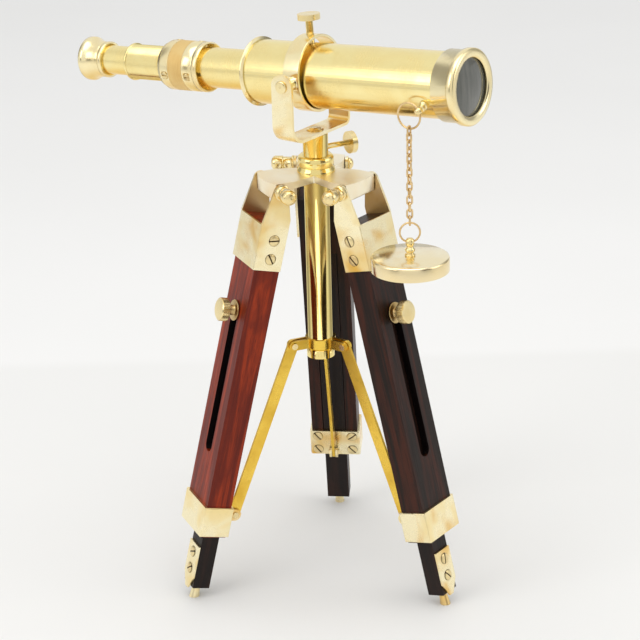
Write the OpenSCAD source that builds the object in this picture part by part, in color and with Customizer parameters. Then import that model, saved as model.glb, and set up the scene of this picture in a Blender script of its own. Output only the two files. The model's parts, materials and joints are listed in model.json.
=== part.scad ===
// Desk telescope on a folding three-legged stand.
// Row frame: Z up, Z = 0 at the foot tips, X along the telescope towards its
// front lens, Y along the tilt axis. Sizes are in millimetres and degrees.
// The centre column stands at [column_x, column_y] so that the origin is the
// middle of the whole outline on the floor.

/* [Tripod] */

// Height of the leg hinge axes above the floor
hinge_height = 225; // [215:1:245]
// Distance of each leg hinge axis from the centre column's axis
hinge_radius = 25.4; // [24:0.2:28]
// Angle of each leg from the vertical
leg_splay = 14; // [12:0.5:16]
// Turn of the first leg from the telescope's direction
leg_turn = -0.5; // [-10:0.5:50]
// Thickness of the thin middle of the yoke plate
yoke_thickness = 3.6; // [2.5:0.1:4.5]
// Depth of the yoke arm that carries each hinge
yoke_lug_depth = 9.8; // [8:0.2:12]
// Gap between each side of a yoke arm and the bracket's ear
yoke_side_gap = 0.55; // [0.45:0.05:1.2]

/* [Legs] */

// Width of the wooden leg
leg_width = 26; // [25:0.5:30]
// Depth of the wooden leg from its inner to its outer face
leg_depth = 14; // [13:0.5:16]
// Thickness of the wood behind the clamp slot
slot_wall = 4; // [3:0.5:5]
// Width of the sliding lower leg
slider_width = 12.6; // [10:0.2:14]
// Depth of the sliding lower leg
slider_depth = 9.6; // [8:0.2:9.6]
// Width of the slot that the clamp knob slides in
slot_width = 7.8; // [5:0.2:8.6]
// Distance from hinge to the foot of the wooden leg
leg_length = 191; // [185:1:195]
// Travel of the sliding leg
slide_travel = 70; // [40:5:75]
// Thickness of the sheet brass brackets
sheet = 1.3; // [1:0.1:1.5]
// Diameter of the clamp knob on each leg
clamp_knob_diameter = 12; // [9:0.5:14]
// Diameter of the slotted wood screw heads
screw_head_diameter = 6; // [3.6:0.2:6.2]

/* [Column and spreader] */

// Diameter of the centre column
column_diameter = 13; // [11:0.5:14]
// Height of the foot of the centre column above the floor
column_bottom = 126.6; // [118:0.2:130]
// Height of the column's top above the yoke plate
column_rise = 20; // [17:0.5:26]
// Width of each spreader strut
strut_width = 6.2; // [4:0.1:7]
// Thickness of each spreader strut
strut_thickness = 1.5; // [1:0.1:1.6]

/* [Fork and ring] */

// Height of the tilt axis above the column's top
pivot_rise = 30.4; // [29.6:0.2:40]
// Width of the ring's strip
strip_width = 9.5; // [7:0.5:11]
// Width of the fork's strip
fork_width = 12.4; // [9:0.2:13]
// How much further out the left fork arm stands than the right one
left_arm_out = 5; // [0:0.5:6]
// Radius of the bend under the left fork arm
left_bend = 10; // [3:0.5:12]
// Radius of the bend under the right fork arm
right_bend = 4; // [3:0.5:8]
// Thickness of the fork strip
fork_sheet = 1.5; // [1.2:0.1:2]
// Diameter of the thumb screw heads
thumb_head_diameter = 11.6; // [9:0.2:12]

/* [Telescope] */

// Upward tilt of the telescope at rest
telescope_pitch = 4; // [0:0.5:8]
// Outside diameter of the main barrel
barrel_diameter = 33; // [30:0.5:34]
// Distance from the tilt axis to the front of the bezel
front_length = 94.5; // [90:0.5:110]
// Distance from the tilt axis to the back flange of the barrel
rear_length = 32.6; // [28:0.2:36]
// Diameter of the clear opening at the front
aperture_diameter = 28.5; // [22:0.5:28.5]
// Outside diameter of the first draw tube
draw_1_diameter = 21; // [20:0.5:24]
// Length of the first draw tube outside the barrel
draw_1_out = 32.5; // [20:0.5:40]
// Outside diameter of the second draw tube
draw_2_diameter = 18.6; // [17.6:0.1:18.6]
// Length of the second draw tube outside its collar
draw_2_out = 24.2; // [14:0.2:30]
// Outside diameter of the third draw tube
draw_3_diameter = 15.6; // [14:0.1:15.6]
// Length of the third draw tube outside the second
draw_3_out = 17.2; // [10:0.2:18]

/* [Lens cap and chain] */

// Number of chain links between the two split rings
link_count = 14; // [8:1:16]
// Distance between neighbouring chain links
link_pitch = 3.5; // [3.4:0.05:3.7]
// Height of the lens cap
cap_height = 7.2; // [6:0.2:9]

/* [Hidden] */

// Colours by material
BRASS = [0.86, 0.68, 0.32];
PALE_BRASS = [0.93, 0.84, 0.62];
AGED_BRASS = [0.62, 0.50, 0.30];
MATTE_BRASS = [0.76, 0.60, 0.34];
ROSEWOOD = [0.38, 0.15, 0.09];
DARK_WOOD = [0.16, 0.09, 0.08];
GLASS = [0.35, 0.36, 0.34, 0.6];

// Smoothness of round parts
ROUND = 96;
ROUND_SMALL = 48;
ROUND_TINY = 32;
$fn = ROUND_SMALL;

// Clearances
RUN = 0.05;      // turning or sliding fit, on the radius
SEAT = 0.1;      // round seat between pieces of one body
GAP = 0.3;       // pieces of different bodies that face each other
BITE = 1;        // how far a cutter runs past a face

// Yoke plate
yoke_top = hinge_height + 4.1;
yoke_reach = 30.3;
yoke_arm_width = leg_width - 2 * yoke_side_gap;
lug_inner = 17.6;
lug_round = 6;
hub_radius = column_diameter / 2 + 3.8;
arm_crossing = hub_radius - 0.6;

// Leg frame: X outward from the leg's face, Y across the leg, Z up along it,
// with its origin on the hinge axis
outer_face = 6;
inner_face = outer_face - leg_depth;
leg_top = -18;
leg_bottom = -leg_length;
slider_top = -52.3;
slider_bottom = -224;
slider_face = outer_face - slot_wall - 0.2;
slider_mid = slider_face - slider_depth / 2;
groove_gap = 0.3;
clamp_at = -68;
slot_top = clamp_at + 1.4;
slot_bottom = clamp_at - slide_travel - 5;

// Hinge at the top of the leg
bolt_radius = 2;
ear_top_radius = 4;
ear_side = leg_width / 2;
nut_sides = [-1, 1, 1];

// Brackets
top_bracket_end = -41.6;
band_top = -173.8;
band_end = -190.4;
clevis_stand = 7.2;
clevis_at = [inner_face - sheet - clevis_stand, -182.6];
clevis_gap = strut_thickness + 0.5;
clevis_ear = 1.3;
clevis_radius = 3.3;

// Column and spreader
column_radius = column_diameter / 2;
column_top = yoke_top + column_rise;
column_bore = 3.05;
column_bore_depth = 34;
column_hollow = column_radius - 1.3;
flange_radius = column_radius + 0.9;
flange_height = 5.3;
collar_radius = column_radius + 2.8;
collar_height = 8.6;
spreader_height = 5.2;
spreader_base = column_bottom + flange_height + GAP;
spreader_radius = column_radius + RUN + 1.5;
spreader_pivot = [column_radius + 9.5, spreader_base + 2.6];
spreader_tip = 3;
pin_radius = 0.95;
strut_slack = 0.55;

// Strut frame: from the spreader's pivot down to the clevis on the leg band
clevis_reach = hinge_radius - clevis_at[1] * sin(leg_splay) + clevis_at[0] * cos(leg_splay);
clevis_height = hinge_height + clevis_at[1] * cos(leg_splay) + clevis_at[0] * sin(leg_splay);
strut_run = [clevis_reach - spreader_pivot[0], spreader_pivot[1] - clevis_height];
strut_length = norm(strut_run);
strut_slope = atan2(strut_run[0], strut_run[1]);

// Fork and ring
tilt_height = column_top + pivot_rise;
barrel_radius = barrel_diameter / 2;
ring_inner = barrel_radius + 1.7;
ring_outer = ring_inner + 1.4;
ring_drop = ring_inner - barrel_radius - GAP;
boss_radius = 3.2;
boss_reach = ring_outer + 1.2;
fork_inner = boss_reach + GAP;
fork_outer = fork_inner + fork_sheet;
fork_base = column_top + GAP;
pivot_screw_radius = 1.6;
thumb_height = column_top - 8.2;
thumb_turn = 64;
thumb_reach = 22;

// Telescope stations, along the barrel from the tilt axis, front positive
bezel_front = front_length;
bezel_lip = 4;
bezel_flange = 2;
bezel_band = 9.4;
bezel_back = bezel_front - bezel_lip - bezel_band;
bezel_band_radius = barrel_radius + 1.3;
bezel_lip_radius = barrel_radius + 2.4;
barrel_wall = 1.2;
aperture = aperture_diameter / 2;
flange_back = -rear_length - 1.6;
rear_flange_radius = barrel_radius + 1.35;
draw_1_radius = draw_1_diameter / 2;
draw_1_inner = draw_1_radius - 0.8;
collar_1_front = flange_back - draw_1_out;
collar_1_radius = draw_1_radius + 2.7;
collar_length = 9.6;
grip_length = 9.3;
collar_2_length = 8.1;
collar_2_back = collar_1_front - collar_length - grip_length - collar_2_length;
draw_1_inside = 30;
draw_2_radius = draw_2_diameter / 2;
draw_2_inner = draw_2_radius - 0.9;
draw_2_back = collar_2_back - draw_2_out;
draw_2_inside = 24;
draw_3_radius = draw_3_diameter / 2;
draw_3_inner = draw_3_radius - 0.8;
draw_3_back = draw_2_back - 1 - draw_3_out;
draw_3_inside = 20;
eyecup_length = 14.4;
eyecup_back = draw_3_back - eyecup_length;
eyecup_lip_radius = 11.8;

// Lens cap, rings and chain
wire = 0.5;
post_station = 76;
post_angle = 68;
post_reach = barrel_radius + 5.6;
ball_radius = 2.1;
post_hole = 0.95;
ring_top_radius = 6.4;
ring_lean = 28;
ring_low_radius = 5;
ring_low_turn = 36;
wire_play = 0.15;
cap_radius = bezel_lip_radius + 0.7;
cap_inner = bezel_lip_radius + RUN;
cap_top = 1.2;
knob_hole_rise = 7.4;
knob_hole = 0.9;
link_inner = link_pitch + wire_play;
link_width = 1.55;
link_turn = (ring_low_turn + 180 * floor(link_count / 2 - 0.5)) / (link_count - 1);

// Where the chain hangs
post_ball = [
    post_station * cos(telescope_pitch) + post_reach * cos(post_angle) * sin(telescope_pitch),
    -post_reach * sin(post_angle),
    tilt_height + post_station * sin(telescope_pitch) - post_reach * cos(post_angle) * cos(telescope_pitch)];
ring_offset = ring_top_radius - wire_play;
hang_x = post_ball[0] - ring_offset * cos(ring_lean);
ring_top_z = post_ball[2] - ring_offset * sin(ring_lean);
first_link_z = ring_top_z - ring_top_radius + wire + wire_play - link_inner / 2;
last_link_z = first_link_z - (link_count - 1) * link_pitch;
ring_low_z = last_link_z - link_inner / 2 + wire + wire_play - ring_low_radius;
knob_hole_z = ring_low_z - ring_low_radius + (knob_hole - wire - wire_play);
cap_z = knob_hole_z - knob_hole_rise;

// Middle of the outline on the floor
band_reach = hinge_radius - band_end * sin(leg_splay) + (outer_face + sheet) * cos(leg_splay);
band_half = leg_width / 2 + sheet;
leg_turns = [for (k = [0:2]) leg_turn + 120 * k];
y_high = max([for (t = leg_turns) band_reach * sin(t) + band_half * abs(cos(t))]);
y_low = min([for (t = leg_turns) band_reach * sin(t) - band_half * abs(cos(t))]);
x_high = bezel_front * cos(telescope_pitch) + bezel_lip_radius * sin(telescope_pitch);
x_low = eyecup_back * cos(telescope_pitch) - eyecup_lip_radius * sin(telescope_pitch);
column_x = -(x_high + x_low) / 2;
column_y = -(y_high + y_low) / 2;

// Frames

module placed() {
    translate([column_x, column_y, 0]) children();
}

module leg_frame(k) {
    placed()
        rotate([0, 0, leg_turn + 120 * k])
            translate([hinge_radius, 0, hinge_height])
                rotate([0, -leg_splay, 0])
                    children();
}

module strut_frame(k) {
    placed()
        rotate([0, 0, leg_turn + 120 * k])
            translate([spreader_pivot[0], 0, spreader_pivot[1]])
                rotate([0, -strut_slope, 0])
                    children();
}

// Local Z runs along the barrel to the front, local X points down
module tube_frame() {
    placed()
        translate([0, 0, tilt_height])
            rotate([0, 90 - telescope_pitch, 0])
                children();
}

module hanging(z) {
    placed()
        translate([hang_x, post_ball[1], z])
            children();
}

// Shared shapes

// A plate in the XZ plane, centred on Y = 0
module side_plate(points, thickness) {
    rotate([90, 0, 0])
        linear_extrude(height = thickness, center = true)
            polygon(points);
}

module across(radius, length, sides = ROUND_TINY) {
    rotate([90, 0, 0])
        cylinder(h = length, r = radius, center = true, $fn = sides);
}

// A tube from station z0 to z1
module tube(z0, z1, outer, inner) {
    translate([0, 0, z0])
        difference() {
            cylinder(h = z1 - z0, r = outer, $fn = ROUND);
            translate([0, 0, -BITE])
                cylinder(h = z1 - z0 + 2 * BITE, r = inner, $fn = ROUND);
        }
}

// A slotted raised screw head, its seat at Z = 0, with a short shank below
screw_head_height = 0.7;
screw_slot = 0.7;
screw_slot_depth = 0.45;
screw_shank = 1.1;
module slotted_screw(turn, shank_length) {
    head = screw_head_diameter / 2;
    rotate([0, 0, turn])
        difference() {
            union() {
                cylinder(h = screw_head_height, r1 = head, r2 = head - 0.5, $fn = ROUND_TINY);
                translate([0, 0, -shank_length])
                    cylinder(h = shank_length + 0.2, r = screw_shank, $fn = ROUND_TINY);
            }
            translate([-head - BITE, -screw_slot / 2, screw_head_height - screw_slot_depth])
                cube([2 * (head + BITE), screw_slot, BITE]);
        }
}

module thumb_screw(shaft_radius, shaft_length, head_thickness) {
    cylinder(h = shaft_length, r = shaft_radius, $fn = ROUND_TINY);
    translate([0, 0, shaft_length - 0.2])
        cylinder(h = head_thickness + 0.2, r = thumb_head_diameter / 2, $fn = ROUND_SMALL);
}

module wire_ring(radius) {
    rotate([90, 0, 0])
        rotate_extrude($fn = ROUND_SMALL)
            translate([radius, 0]) circle(r = wire, $fn = 16);
}

// Yoke plate with three hinge arms
module yoke() {
    color(PALE_BRASS) placed() rotate([0, 0, leg_turn]) difference() {
        union() {
            intersection() {
                translate([0, 0, yoke_top - yoke_thickness]) {
                    cylinder(h = yoke_thickness, r = hub_radius, $fn = ROUND);
                    for (k = [0:2]) rotate([0, 0, 120 * k])
                        linear_extrude(height = yoke_thickness) yoke_arm_outline();
                }
                translate([0, 0, yoke_top - yoke_lug_depth - BITE])
                    cylinder(h = yoke_lug_depth + 2 * BITE, r = yoke_reach, $fn = 144);
            }
            for (k = [0:2]) rotate([0, 0, 120 * k]) yoke_lug();
        }
        translate([0, 0, yoke_top - yoke_thickness - BITE])
            cylinder(h = yoke_thickness + 2 * BITE, r = column_radius + SEAT, $fn = ROUND_SMALL);
        for (k = [0:2]) rotate([0, 0, 120 * k])
            translate([hinge_radius, 0, hinge_height])
                across(bolt_radius + RUN, yoke_arm_width + 2 * BITE);
    }
}

// Arm that widens from the hub to the lug; neighbours' sides cross inside the hub
module yoke_arm_outline() {
    half = yoke_arm_width / 2;
    slope = (half - arm_crossing * sin(60)) / (lug_inner - arm_crossing * cos(60));
    root = arm_crossing * (sin(60) - slope * cos(60));
    polygon([[0, -root], [lug_inner, -half], [yoke_reach + 2, -half],
        [yoke_reach + 2, half], [lug_inner, half], [0, root]]);
}

module yoke_lug() {
    low = yoke_top - yoke_lug_depth;
    turn_x = yoke_reach + 0.8 - lug_round;
    intersection() {
        union() {
            translate([lug_inner, -yoke_arm_width / 2, low + lug_round])
                cube([yoke_reach + 2 - lug_inner, yoke_arm_width, yoke_lug_depth - lug_round]);
            translate([lug_inner, -yoke_arm_width / 2, low])
                cube([turn_x - lug_inner, yoke_arm_width, lug_round + 0.5]);
            translate([turn_x, 0, low + lug_round])
                across(lug_round, yoke_arm_width, ROUND_SMALL);
        }
        translate([0, 0, low - BITE])
            cylinder(h = yoke_lug_depth + BITE, r = yoke_reach, $fn = 144);
    }
}

// Turned collar that holds the column on the yoke plate
module collar() {
    color(BRASS) placed() translate([0, 0, yoke_top]) rotate_extrude($fn = ROUND)
        polygon([
            [column_radius + SEAT, 0], [collar_radius + 0.5, 0],
            [collar_radius + 0.5, 1.6], [collar_radius, 1.9],
            [collar_radius, 2.4], [collar_radius - 0.4, 2.7], [collar_radius - 0.4, 3.1],
            [collar_radius, 3.4], [collar_radius, collar_height - 0.9],
            [collar_radius - 0.9, collar_height], [column_radius + SEAT, collar_height]]);
}

// Column: a tube with a rim at its foot and a bored plug at its top
module column() {
    color(BRASS) placed() difference() {
        union() {
            translate([0, 0, column_bottom])
                cylinder(h = column_top - column_bottom, r = column_radius, $fn = ROUND);
            translate([0, 0, column_bottom])
                cylinder(h = flange_height, r = flange_radius, $fn = ROUND);
        }
        translate([0, 0, column_bottom - BITE])
            cylinder(h = column_top - column_bottom - column_bore_depth - 6 + BITE,
                r = column_hollow, $fn = ROUND_SMALL);
        translate([0, 0, column_top - column_bore_depth])
            cylinder(h = column_bore_depth + BITE, r = column_bore, $fn = ROUND_SMALL);
        translate([0, 0, thumb_height]) rotate([0, 0, thumb_turn]) rotate([0, 90, 0])
            cylinder(h = column_radius + BITE, r = 1.5 + RUN, $fn = ROUND_TINY);
    }
}

module column_thumbscrew() {
    color(BRASS) placed()
        translate([0, 0, thumb_height]) rotate([0, 0, thumb_turn]) rotate([0, 90, 0])
            translate([0, 0, column_bore + 0.15])
                thumb_screw(1.5, thumb_reach - 2.6 - column_bore - 0.15, 2.6);
}

// Sliding spreader ring with three clevises
module spreader() {
    color(BRASS) placed() rotate([0, 0, leg_turn]) translate([0, 0, spreader_base]) difference() {
        union() {
            cylinder(h = spreader_height, r = spreader_radius, $fn = ROUND);
            for (k = [0:2]) rotate([0, 0, 120 * k]) for (side = [-1, 1])
                translate([0, side * (clevis_gap + clevis_ear) / 2, 0]) {
                    translate([column_radius + 0.6, -clevis_ear / 2, 0])
                        cube([spreader_pivot[0] - column_radius - 0.6, clevis_ear, spreader_height]);
                    translate([spreader_pivot[0], 0, spreader_height / 2])
                        across(spreader_height / 2, clevis_ear);
                }
        }
        translate([0, 0, -BITE])
            cylinder(h = spreader_height + 2 * BITE, r = column_radius + RUN, $fn = ROUND);
        for (k = [0:2]) rotate([0, 0, 120 * k])
            translate([spreader_pivot[0], 0, spreader_height / 2])
                across(pin_radius + RUN, clevis_gap + 2 * clevis_ear + 2 * BITE);
    }
}

// Rivet-headed pivot pins of the spreader
module spreader_pins() {
    color(BRASS) for (k = [0:2]) placed() rotate([0, 0, leg_turn + 120 * k])
        translate([spreader_pivot[0], 0, spreader_pivot[1]]) pivot_pin();
}

module pivot_pin() {
    half = clevis_gap / 2 + clevis_ear;
    across(pin_radius, 2 * half + 0.4);
    for (side = [-1, 1]) translate([0, side * (half + 0.45), 0]) across(1.7, 0.7);
}

// Flat strut: snug hole at the spreader, loose hole at the leg
module strut(k) {
    color(BRASS) strut_frame(k) difference() {
        union() {
            translate([-strut_width / 2, -strut_thickness / 2, -strut_length])
                cube([strut_width, strut_thickness, strut_length]);
            for (z = [0, -strut_length]) translate([0, 0, z])
                across(strut_width / 2, strut_thickness);
        }
        across(pin_radius + RUN, strut_thickness + 2 * BITE);
        translate([0, 0, -strut_length])
            across(pin_radius + strut_slack, strut_thickness + 2 * BITE);
    }
}
module strut_a() { strut(0); }
module strut_b() { strut(1); }
module strut_c() { strut(2); }

// Wooden leg: a channel open on its inner side, slotted on its outer side
module leg(k) {
    groove = slider_width / 2 + groove_gap;
    color(ROSEWOOD) leg_frame(k) difference() {
        translate([inner_face, -leg_width / 2, leg_bottom])
            cube([leg_depth, leg_width, leg_top - leg_bottom]);
        translate([inner_face - BITE, -groove, leg_bottom - BITE])
            cube([leg_depth - slot_wall + BITE, 2 * groove, slider_top + GAP - leg_bottom + BITE]);
        translate([outer_face - slot_wall - BITE, -slot_width / 2, slot_bottom])
            cube([slot_wall + 2 * BITE, slot_width, slot_top - slot_bottom]);
        for (z = [slot_top, slot_bottom])
            translate([outer_face - slot_wall - BITE, 0, z]) rotate([0, 90, 0])
                cylinder(h = slot_wall + 2 * BITE, r = slot_width / 2, $fn = ROUND_TINY);
        for (side = [-1, 1]) for (z = bracket_screw_z)
            translate([bracket_screw_x, side * (leg_width / 2 - 2.6), z])
                across(screw_shank + 0.1, 5.6);
        for (side = [-1, 1]) for (z = band_screw_z)
            translate([inner_face - BITE, side * band_screw_y, z]) rotate([0, 90, 0])
                cylinder(h = 3.6 + BITE, r = screw_shank + 0.1, $fn = ROUND_TINY);
    }
}
module leg_a() { leg(0); }
module leg_b() { leg(1); }
module leg_c() { leg(2); }

bracket_screw_x = -1.2;
bracket_screw_z = [-25.4, -35.4];
band_screw_y = 9.8;
band_screw_z = [-177.4, -186.8];

// Folded bracket at the top of the leg with two hinge ears
module top_bracket(k) {
    color(BRASS) leg_frame(k) difference() {
        union() {
            translate([outer_face, -ear_side - sheet, top_bracket_end])
                cube([sheet, leg_width + 2 * sheet, leg_top + 0.3 - top_bracket_end]);
            for (side = [-1, 1]) translate([0, side * (ear_side + sheet / 2), 0]) {
                side_plate([
                    [inner_face, top_bracket_end], [outer_face + sheet, top_bracket_end],
                    [outer_face + sheet, leg_top + 0.3], [ear_top_radius, 0],
                    [-ear_top_radius, 0], [inner_face, leg_top + 4]], sheet);
                across(ear_top_radius, sheet, ROUND_SMALL);
            }
        }
        across(bolt_radius + RUN, leg_width + 6);
        for (z = bracket_screw_z) translate([bracket_screw_x, 0, z])
            across(screw_shank + 0.1, leg_width + 6);
    }
}
module top_bracket_a() { top_bracket(0); }
module top_bracket_b() { top_bracket(1); }
module top_bracket_c() { top_bracket(2); }

// Hinge bolt with a button head on one side and a domed nut on the other
module hinge_bolt(k) {
    half = ear_side + sheet;
    side = nut_sides[k];
    color(BRASS) leg_frame(k) rotate([0, 0, side > 0 ? 180 : 0]) rotate([90, 0, 0]) {
        translate([0, 0, -half - 0.1]) cylinder(h = 2 * half + 0.3, r = bolt_radius, $fn = ROUND_TINY);
        translate([0, 0, -half - 0.1]) rotate_extrude($fn = ROUND_SMALL)
            polygon([[0, 0], [3.1, 0], [3.1, -0.9], [2.5, -1.8], [1.3, -2.4], [0, -2.6]]);
        translate([0, 0, half + 0.1]) rotate_extrude($fn = ROUND_SMALL)
            polygon([[0, 0], [4.1, 0], [4.1, 1.1], [3.4, 1.4], [3.4, 5.6],
                [3.9, 6.1], [3.9, 10], [3.4, 11.2], [2.2, 12], [0, 12.3]]);
    }
}
module hinge_bolt_a() { hinge_bolt(0); }
module hinge_bolt_b() { hinge_bolt(1); }
module hinge_bolt_c() { hinge_bolt(2); }

// Closed band round the foot of the leg with a clevis on its inner side
module leg_band(k) {
    x0 = inner_face - sheet;
    depth = leg_depth + 2 * sheet;
    tall = band_top - band_end;
    color(BRASS) leg_frame(k) difference() {
        union() {
            translate([x0, -leg_width / 2 - sheet, band_end])
                cube([depth, leg_width + 2 * sheet, tall]);
            for (side = [-1, 1]) translate([0, side * (clevis_gap + clevis_ear) / 2, 0]) {
                translate([clevis_at[0], -clevis_ear / 2, clevis_at[1] - clevis_radius])
                    cube([x0 - clevis_at[0] + 0.2, clevis_ear, 2 * clevis_radius]);
                translate([clevis_at[0], 0, clevis_at[1]]) across(clevis_radius, clevis_ear);
            }
        }
        translate([inner_face, -leg_width / 2, band_end - BITE])
            cube([leg_depth, leg_width, tall + 2 * BITE]);
        translate([clevis_at[0], 0, clevis_at[1]])
            across(pin_radius + RUN, clevis_gap + 2 * clevis_ear + 2 * BITE);
        for (side = [-1, 1]) for (z = band_screw_z)
            translate([x0 - BITE, side * band_screw_y, z]) rotate([0, 90, 0])
                cylinder(h = sheet + 2 * BITE, r = screw_shank + 0.1, $fn = ROUND_TINY);
    }
}
module leg_band_a() { leg_band(0); }
module leg_band_b() { leg_band(1); }
module leg_band_c() { leg_band(2); }

// Wood screws of both brackets and the strut's pivot screw
module leg_screws(k) {
    color(BRASS) leg_frame(k) {
        for (side = [-1, 1]) for (i = [0, 1])
            translate([bracket_screw_x, side * (ear_side + sheet), bracket_screw_z[i]])
                rotate([-side * 90, 0, 0]) slotted_screw(35 + 50 * i, sheet + 4);
        for (side = [-1, 1]) for (i = [0, 1])
            translate([inner_face - sheet, side * band_screw_y, band_screw_z[i]])
                rotate([0, -90, 0]) slotted_screw(20 + 60 * i + 15 * side, sheet + 3);
        translate([clevis_at[0], 0, clevis_at[1]]) pivot_pin();
    }
}
module leg_screws_a() { leg_screws(0); }
module leg_screws_b() { leg_screws(1); }
module leg_screws_c() { leg_screws(2); }

// Sliding lower leg
module slider(k) {
    color(DARK_WOOD) leg_frame(k) difference() {
        translate([slider_face - slider_depth, -slider_width / 2, slider_bottom])
            cube([slider_depth, slider_width, slider_top - slider_bottom]);
        translate([slider_face - 6, 0, clamp_at]) rotate([0, 90, 0])
            cylinder(h = 6 + BITE, r = clamp_stud + SEAT, $fn = ROUND_TINY);
        translate([slider_mid, 0, slider_bottom - BITE])
            cylinder(h = 9 + BITE, r = peg_shank + SEAT, $fn = ROUND_TINY);
        for (z = foot_screw_z) translate([slider_face - 3.4, 0, z]) rotate([0, 90, 0])
            cylinder(h = 3.4 + BITE, r = screw_shank + 0.1, $fn = ROUND_TINY);
    }
}
module slider_a() { slider(0); }
module slider_b() { slider(1); }
module slider_c() { slider(2); }

clamp_stud = 1.9;
peg_shank = 1.5;
foot_screw_z = [-205, -214.5];

// Foot: a pointed plate on the sliding leg and a flared peg cut level
module foot(k) {
    half = slider_width / 2;
    color(BRASS) difference() {
        leg_frame(k) {
            difference() {
                translate([slider_face, 0, 0]) rotate([90, 0, 90])
                    linear_extrude(height = 1.2)
                        polygon([[-half, -200], [half, -200], [half, -218],
                            [1.6, -225.6], [-1.6, -225.6], [-half, -218]]);
                for (z = foot_screw_z) translate([slider_face - BITE, 0, z]) rotate([0, 90, 0])
                    cylinder(h = 1.2 + 2 * BITE, r = screw_shank + 0.1, $fn = ROUND_TINY);
            }
            translate([slider_mid, 0, slider_bottom - 12])
                cylinder(h = 11.8, r1 = 3.3, r2 = 1.9, $fn = ROUND_TINY);
            translate([slider_mid, 0, slider_bottom - 1])
                cylinder(h = 9, r = peg_shank, $fn = ROUND_TINY);
        }
        translate([-300, -300, -40]) cube([600, 600, 40]);
    }
}
module foot_a() { foot(0); }
module foot_b() { foot(1); }
module foot_c() { foot(2); }

module foot_screws(k) {
    color(BRASS) leg_frame(k) for (i = [0, 1])
        translate([slider_face + 1.2, 0, foot_screw_z[i]]) rotate([0, 90, 0])
            slotted_screw(30 + 70 * i, 4);
}
module foot_screws_a() { foot_screws(0); }
module foot_screws_b() { foot_screws(1); }
module foot_screws_c() { foot_screws(2); }

// Clamp knob with its washer face and stud
module clamp_knob(k) {
    head = clamp_knob_diameter / 2;
    color(BRASS) leg_frame(k) translate([outer_face, 0, clamp_at]) rotate([0, 90, 0]) {
        translate([0, 0, slider_face - outer_face - 5.5])
            cylinder(h = outer_face - slider_face + 6, r = clamp_stud, $fn = ROUND_TINY);
        rotate_extrude($fn = ROUND_SMALL)
            polygon([[0, GAP], [5.5, GAP], [5.5, 1.1], [2.7, 1.4], [2.7, 4.8],
                [head - 0.4, 4.8], [head, 5.2], [head, 9], [head - 0.5, 9.5], [0, 9.6]]);
    }
}
module clamp_knob_a() { clamp_knob(0); }
module clamp_knob_b() { clamp_knob(1); }
module clamp_knob_c() { clamp_knob(2); }

// How far an arm and the ring's boss stand out beyond the right-hand ones
function arm_out(side) = side < 0 ? left_arm_out : 0;

// Bent strip fork that carries the telescope
module fork() {
    half = fork_width / 2;
    color(BRASS) placed() difference() {
        union() {
            translate([-half, -fork_outer - left_arm_out + left_bend, fork_base])
                cube([fork_width, 2 * fork_outer + left_arm_out - left_bend - right_bend, fork_sheet]);
            fork_arm(-1, left_bend);
            fork_arm(1, right_bend);
        }
        translate([0, 0, tilt_height])
            across(pivot_screw_radius + RUN, 2 * (fork_outer + left_arm_out) + 4);
        translate([0, 0, fork_base - BITE])
            cylinder(h = fork_sheet + 2 * BITE, r = column_bore - RUN + SEAT, $fn = ROUND_SMALL);
    }
}

module fork_arm(side, bend) {
    half = fork_width / 2;
    middle = side * (fork_inner + arm_out(side) + fork_sheet / 2);
    translate([-half, middle - fork_sheet / 2, fork_base + bend])
        cube([fork_width, fork_sheet, tilt_height - fork_base - bend]);
    translate([0, middle, tilt_height]) across(half, fork_sheet, ROUND_SMALL);
    translate([0, side * (fork_outer + arm_out(side) - bend), fork_base + bend]) fork_bend(side, bend);
}

// Quarter bend of the strip
module fork_bend(side, bend) {
    intersection() {
        rotate([0, 90, 0]) difference() {
            cylinder(h = fork_width, r = bend, center = true, $fn = ROUND_SMALL);
            cylinder(h = fork_width + 2 * BITE, r = bend - fork_sheet, center = true, $fn = ROUND_SMALL);
        }
        translate([-fork_width, side > 0 ? 0 : -bend - BITE, -bend - BITE])
            cube([2 * fork_width, bend + BITE, bend + BITE]);
    }
}

// Spindle that turns in the column, with its head inside the fork
module fork_spindle() {
    color(BRASS) placed() {
        translate([0, 0, column_top - column_bore_depth + 1])
            cylinder(h = column_bore_depth + fork_sheet + GAP, r = column_bore - RUN, $fn = ROUND_SMALL);
        translate([0, 0, fork_base + fork_sheet + 0.05]) rotate_extrude($fn = ROUND_SMALL)
            polygon([[0, 0], [4.4, 0], [4.4, 0.3], [4, 0.6], [0, 0.7]]);
    }
}

// Screws through the fork arms into the ring's bosses
module pivot_screws() {
    color(BRASS) placed() for (side = [-1, 1])
        translate([0, side * (fork_outer + arm_out(side)), tilt_height]) rotate([-side * 90, 0, 0]) {
            translate([0, 0, GAP]) rotate_extrude($fn = ROUND_TINY)
                polygon([[0, 0], [3.2, 0], [3.2, 0.3], [2.9, 0.6], [0, 0.7]]);
            translate([0, 0, -fork_sheet - 3]) cylinder(h = fork_sheet + 3.5, r = pivot_screw_radius, $fn = ROUND_TINY);
        }
}

// Strip ring round the barrel
module clamp_ring() {
    half = strip_width / 2;
    color(BRASS) tube_frame() difference() {
        union() {
            translate([-ring_drop, 0, 0]) tube(-half, half, ring_outer, ring_inner);
            for (side = [-1, 1]) difference() {
                translate([0, side * ((ring_outer + boss_reach + arm_out(side)) / 2 - 1), 0])
                    across(boss_radius, boss_reach + arm_out(side) - ring_outer + 2);
                translate([-ring_drop, 0, -half])
                    cylinder(h = strip_width, r = ring_inner + 0.5, $fn = ROUND);
            }
        }
        for (side = [-1, 1]) translate([0, side * (boss_reach + arm_out(side)), 0])
            across(pivot_screw_radius + SEAT, 6.6);
        translate([-ring_drop - ring_inner - 3, 0, 0]) rotate([0, 90, 0])
            cylinder(h = 6, r = ring_stud + RUN, $fn = ROUND_TINY);
    }
}

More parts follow.
